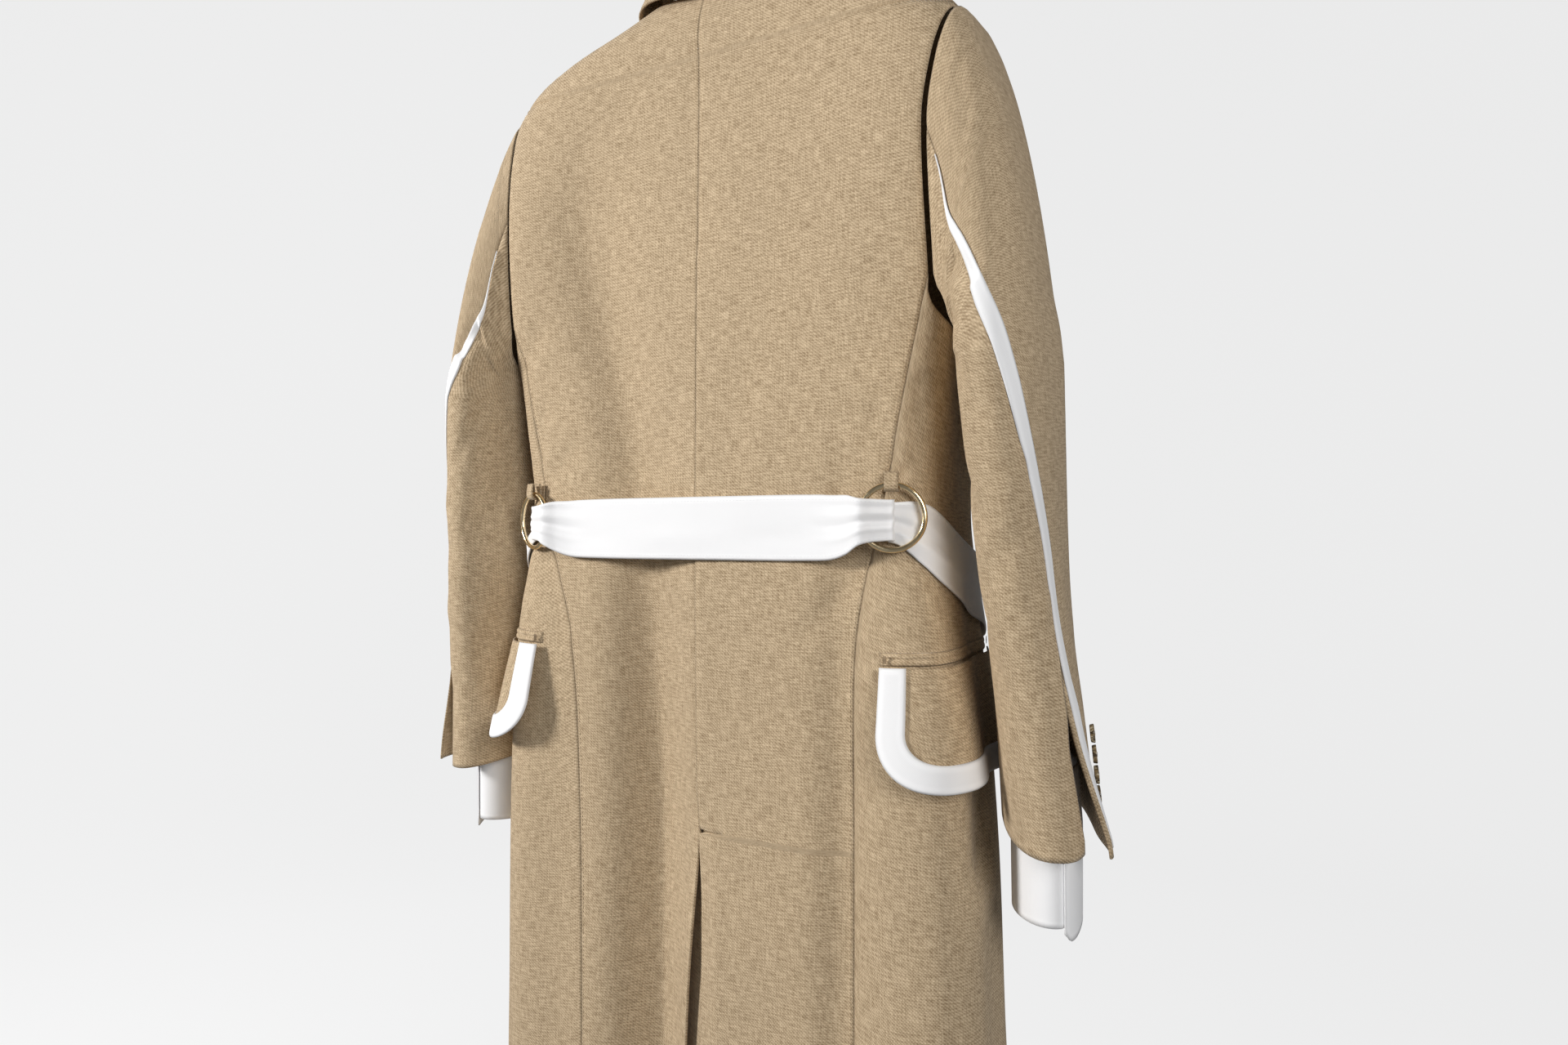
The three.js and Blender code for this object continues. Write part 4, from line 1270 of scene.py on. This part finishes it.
# %% Helpers for materials
def new_finish(name, roughness, metallic=0.0, **sockets):
    finish = bpy.data.materials.new(name)
    finish.use_nodes = True
    tree = finish.node_tree
    shader = tree.nodes["Principled BSDF"]
    shader.inputs["Roughness"].default_value = roughness
    shader.inputs["Metallic"].default_value = metallic
    for label, value in sockets.items():
        shader.inputs[label.replace("_", " ")].default_value = value
    return finish, tree, shader


def place_group(tree, group, **values):
    node = tree.nodes.new("ShaderNodeGroup")
    node.node_tree = group
    for label, value in values.items():
        feed(tree, node.inputs[label], value)
    return node.outputs


def mix_colour(tree, share, dark, light, mode="MIX"):
    node = tree.nodes.new("ShaderNodeMix")
    node.data_type = "RGBA"
    node.blend_type = mode
    feed(tree, node.inputs["Factor"], share)
    feed(tree, node.inputs["A"], dark)
    feed(tree, node.inputs["B"], light)
    return node.outputs["Result"]


def grey(tree, value):
    node = tree.nodes.new("ShaderNodeCombineColor")
    for socket in node.inputs[:3]:
        tree.links.new(value, socket)
    return node.outputs[0]


def raise_surface(tree, shader, height, strength, distance):
    node = tree.nodes.new("ShaderNodeBump")
    node.inputs["Strength"].default_value = strength
    node.inputs["Distance"].default_value = distance
    tree.links.new(height, node.inputs["Height"])
    tree.links.new(node.outputs[0], shader.inputs["Normal"])


def grain_of(tree):
    node = tree.nodes.new("ShaderNodeUVMap")
    node.uv_map = "grain"
    return node.outputs[0]


def edge_of(tree):
    node = tree.nodes.new("ShaderNodeAttribute")
    node.attribute_name = "edge"
    return node.outputs["Fac"]


def object_place(tree):
    return tree.nodes.new("ShaderNodeTexCoord").outputs["Object"]


print("helpers ready")

# %% [markdown]
# The tan coating: two tans mixed by the flecks, then multiplied by the painted shade along the seams and
# edges and by the soft patches. A little sheen stands for the short fibres that catch light at a slant.

# %% Finish: tan coating
def coating_finish(name, dark, light, depth):
    finish, tree, shader = new_finish(
        name, 0.88, Sheen_Weight=0.12, Sheen_Roughness=0.45, Specular_IOR_Level=0.25
    )
    weave = place_group(tree, twill, Grain=grain_of(tree), Rib=0.0019)
    colour = mix_colour(tree, weave["Fleck"], dark, light)
    # Painted shade along seams and cut edges, with a slightly lighter rubbed band beside it.
    edge = place_group(tree, seam_shade_and_rub, Distance=edge_of(tree), Depth=depth)
    patch = place_group(tree, soft_patches, Place=object_place(tree), Amount=0.16)
    shade = grey(tree, calc(tree, "MULTIPLY", edge["Shade"], patch["Shade"]))
    tree.links.new(mix_colour(tree, 1.0, colour, shade, "MULTIPLY"), shader.inputs["Base Color"])
    raise_surface(tree, shader, weave["Height"], 0.55, 0.0004)
    return finish


coating = coating_finish("tan coating", (0.235, 0.158, 0.084, 1), (0.76, 0.60, 0.405, 1), 0.22)


# %% Finish: white cotton
def cotton_finish():
    finish, tree, shader = new_finish("white cotton", 0.75, Sheen_Weight=0.1, Specular_IOR_Level=0.3)
    weave = place_group(tree, plain, Grain=grain_of(tree), Pitch=0.0008)
    colour = mix_colour(tree, weave["Height"], (0.83, 0.835, 0.86, 1), (0.93, 0.935, 0.95, 1))
    # Painted shade along the cotton's seams and cut edges, lighter than on the tan cloth.
    edge = place_group(tree, seam_shade_and_rub, Distance=edge_of(tree), Depth=0.12)
    patch = place_group(tree, soft_patches, Place=object_place(tree), Amount=0.05)
    shade = grey(tree, calc(tree, "MULTIPLY", edge["Shade"], patch["Shade"]))
    tree.links.new(mix_colour(tree, 1.0, colour, shade, "MULTIPLY"), shader.inputs["Base Color"])
    height = calc(tree, "MULTIPLY_ADD", weave["Crumple"], 6.0, weave["Height"])
    raise_surface(tree, shader, height, 0.3, 0.00025)
    return finish


cotton = cotton_finish()
print("finishes:", coating.name, cotton.name)

# %% [markdown]
# Thread is twisted from finer threads, so it has slanting light and dark turns. Polished ring wire is
# smooth but never clean: faint smudges change its gloss from place to place. Horn is layered, so its mottle
# is a stretched noise that runs from nearly black through olive brown to cream, under a polish.

# %% Finishes: thread, gold and horn
def thread_finish(name, dark, light):
    finish, tree, shader = new_finish(name, 0.7, Sheen_Weight=0.1)
    colour = mix_colour(tree, noise(tree, object_place(tree), (900, 900, 1800)), dark, light)
    tree.links.new(colour, shader.inputs["Base Color"])
    return finish


def gold_finish():
    finish, tree, shader = new_finish("pale gold", 0.2, 1.0)
    smudge = noise(tree, object_place(tree), (90, 90, 90), 4.0, 0.6)
    colour = mix_colour(tree, smudge, (0.72, 0.53, 0.27, 1), (0.93, 0.80, 0.56, 1))
    tree.links.new(colour, shader.inputs["Base Color"])
    tree.links.new(ramp(tree, smudge, 0.3, 0.7, 0.12, 0.3), shader.inputs["Roughness"])
    return finish


def horn_finish():
    finish, tree, shader = new_finish("horn", 0.3, Coat_Weight=0.3, Coat_Roughness=0.15)
    layers = ramp(tree, noise(tree, object_place(tree), (120, 160, 420), 3.0, 0.6), 0.38, 0.62)
    deep = mix_colour(tree, layers, (0.05, 0.035, 0.02, 1), (0.26, 0.19, 0.10, 1))
    flecks = ramp(tree, noise(tree, object_place(tree), (300, 260, 700), 2.0), 0.52, 0.68)
    tree.links.new(mix_colour(tree, flecks, deep, (0.66, 0.58, 0.42, 1)), shader.inputs["Base Color"])
    return finish


tan_yarn = thread_finish("tan thread", (0.16, 0.105, 0.055, 1), (0.34, 0.25, 0.15, 1))
white_yarn = thread_finish("white thread", (0.74, 0.75, 0.78, 1), (0.9, 0.9, 0.92, 1))
gold, horn = gold_finish(), horn_finish()

FINISH_OF = (
    ("cloth_", coating, "coat_cloth"), ("thread_tan", tan_yarn, "coat_cloth"),
    ("gold_ring", gold, "gold_metal"), ("horn_", horn, "horn"),
    ("thread_white", white_yarn, "white_cotton"), ("", cotton, "white_cotton"),
)
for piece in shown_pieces():
    start, finish, slot = next(row for row in FINISH_OF if piece.name.startswith(row[0]))
    piece.data.materials.clear()
    piece.data.materials.append(finish)

# %% [markdown]
# The size of each sheet's cut, which the helper measured, is printed. The body pieces hang from the neck and
# shoulders, the trims are sewn to their cloth, and the sash is drawn through the rings.

# %% Cut sizes
for name, (width, length, area) in cut_size.items():
    print(f"{name}: {width * 1000:.0f} by {length * 1000:.0f} mm, {area * 1e4:.0f} square cm")

# %% [markdown]
# The studio is a pale floor that curves up into a wall all round, so that the coat has the same quiet
# background from every side. The wall glows a little, which is the quickest way to the even, bright fill of
# a white studio, and it looks brighter to the camera than to the cloth, so that the folds keep their shade.

# %% Floor and backdrop
FLOOR = -1.42
PAPER_GLOW = 0.11
bm = bmesh.new()
profile = [(2.4, FLOOR)]
profile += [(2.4 + math.sin(a * QUARTER / 8), FLOOR + 1 - math.cos(a * QUARTER / 8)) for a in range(1, 9)]
profile += [(3.4, 2.6)]
bmesh.ops.create_circle(bm, cap_ends=True, segments=96, radius=profile[0][0])
bmesh.ops.translate(bm, verts=bm.verts, vec=(0, 0, FLOOR))
rim = bm.edges[:]
for (before, _), (radius, z) in zip(profile, profile[1:]):
    grown = bmesh.ops.extrude_edge_only(bm, edges=rim)["geom"]
    verts = [g for g in grown if isinstance(g, bmesh.types.BMVert)]
    bmesh.ops.scale(bm, verts=verts, vec=(radius / before, radius / before, 1))
    for vert in verts:
        vert.co.z = z
    edges = [g for g in grown if isinstance(g, bmesh.types.BMEdge)]
    rim = [e for e in edges if abs(e.verts[0].co.z - e.verts[1].co.z) < 1e-6]
mesh = bpy.data.meshes.new("studio")
bm.to_mesh(mesh)
bm.free()
mesh.shade_smooth()
studio = bpy.data.objects.new("studio", mesh)
bpy.context.collection.objects.link(studio)

paper, tree, shader = new_finish("studio paper", 0.95)
spread = noise(tree, object_place(tree), (2, 2, 2))
tone = mix_colour(tree, spread, (0.115, 0.117, 0.12, 1), (0.125, 0.127, 0.13, 1))
tree.links.new(tone, shader.inputs["Base Color"])
split = tree.nodes.new("ShaderNodeSeparateXYZ")
tree.links.new(object_place(tree), split.inputs[0])
# Painted light: to the camera the backdrop glows a little brighter towards the camera's left, where the key
# light stands.
towards = calc(tree, "MULTIPLY_ADD", split.outputs[0], 0.859, calc(tree, "MULTIPLY", split.outputs[1], 0.512))
camera_glow_brighter_left = ramp(tree, towards, -3.2, 3.2, 0.77, 0.81)
rays = tree.nodes.new("ShaderNodeLightPath").outputs["Is Camera Ray"]
glow = calc(tree, "ADD", PAPER_GLOW, calc(tree, "MULTIPLY", rays, calc(tree, "SUBTRACT", camera_glow_brighter_left, PAPER_GLOW)))
tree.links.new(grey(tree, glow), shader.inputs["Emission Color"])
shader.inputs["Emission Strength"].default_value = 1.0
mesh.materials.append(paper)
print("studio floor at", FLOOR, "m")

# %% [markdown]
# The camera stands behind the coat and to its right, level with its middle, with a wide lens from close by.
# A longer lens from further off would flatten the sides of the coat together. One soft box to the left of
# the camera gives the folds their shape. A second stands over the camera and a faint third is beyond the
# coat.

# %% Light and camera
VIEW = Vector((0.5125, -0.8587, 0)).normalized()
ASIDE = VIEW.cross(Vector((0, 0, 1)))
MIDDLE = Vector((0, 0, -0.45))


def soft_box(name, aside, back, rise, size, power, colour=(1, 1, 1)):
    """A round light that faces the coat, placed in metres to the right of the camera, towards it and up."""
    lamp = bpy.data.lights.new(name, "AREA")
    lamp.shape = "DISK"
    lamp.size, lamp.energy, lamp.color = size, power, colour
    lit = bpy.data.objects.new(name, lamp)
    bpy.context.collection.objects.link(lit)
    lit.location = MIDDLE + ASIDE * aside - VIEW * back + Vector((0, 0, rise))
    lit.rotation_euler = (MIDDLE - lit.location).to_track_quat("-Z", "Y").to_euler()


soft_box("key", -2.4, 0.4, 0.75, 0.5, 66, (1, 0.985, 0.96))
soft_box("second", 0.9, 2.3, 0.7, 1.1, 33, (1, 0.99, 0.97))
soft_box("front fill", -1.2, -2.0, 0.8, 1.4, 8)

world = bpy.data.worlds.new("studio light")
bpy.context.scene.world = world
world.use_nodes = True
world.node_tree.nodes["Background"].inputs["Color"].default_value = (0.92, 0.95, 1.0, 1)
world.node_tree.nodes["Background"].inputs["Strength"].default_value = 0.1

lens = bpy.data.cameras.new("camera")
lens.lens = 24
lens.sensor_width = 36
lens.clip_start = 0.02
camera = bpy.data.objects.new("camera", lens)
bpy.context.collection.objects.link(camera)
camera.location = (-0.479, 0.750, -0.434)
roll = Matrix.Rotation(math.radians(0.42), 3, VIEW)
camera.rotation_euler = (roll @ VIEW.to_track_quat("-Z", "Y").to_matrix()).to_euler()
bpy.context.scene.camera = camera
bpy.context.scene.view_settings.view_transform = "Standard"
print("camera at", tuple(round(c, 3) for c in camera.location))
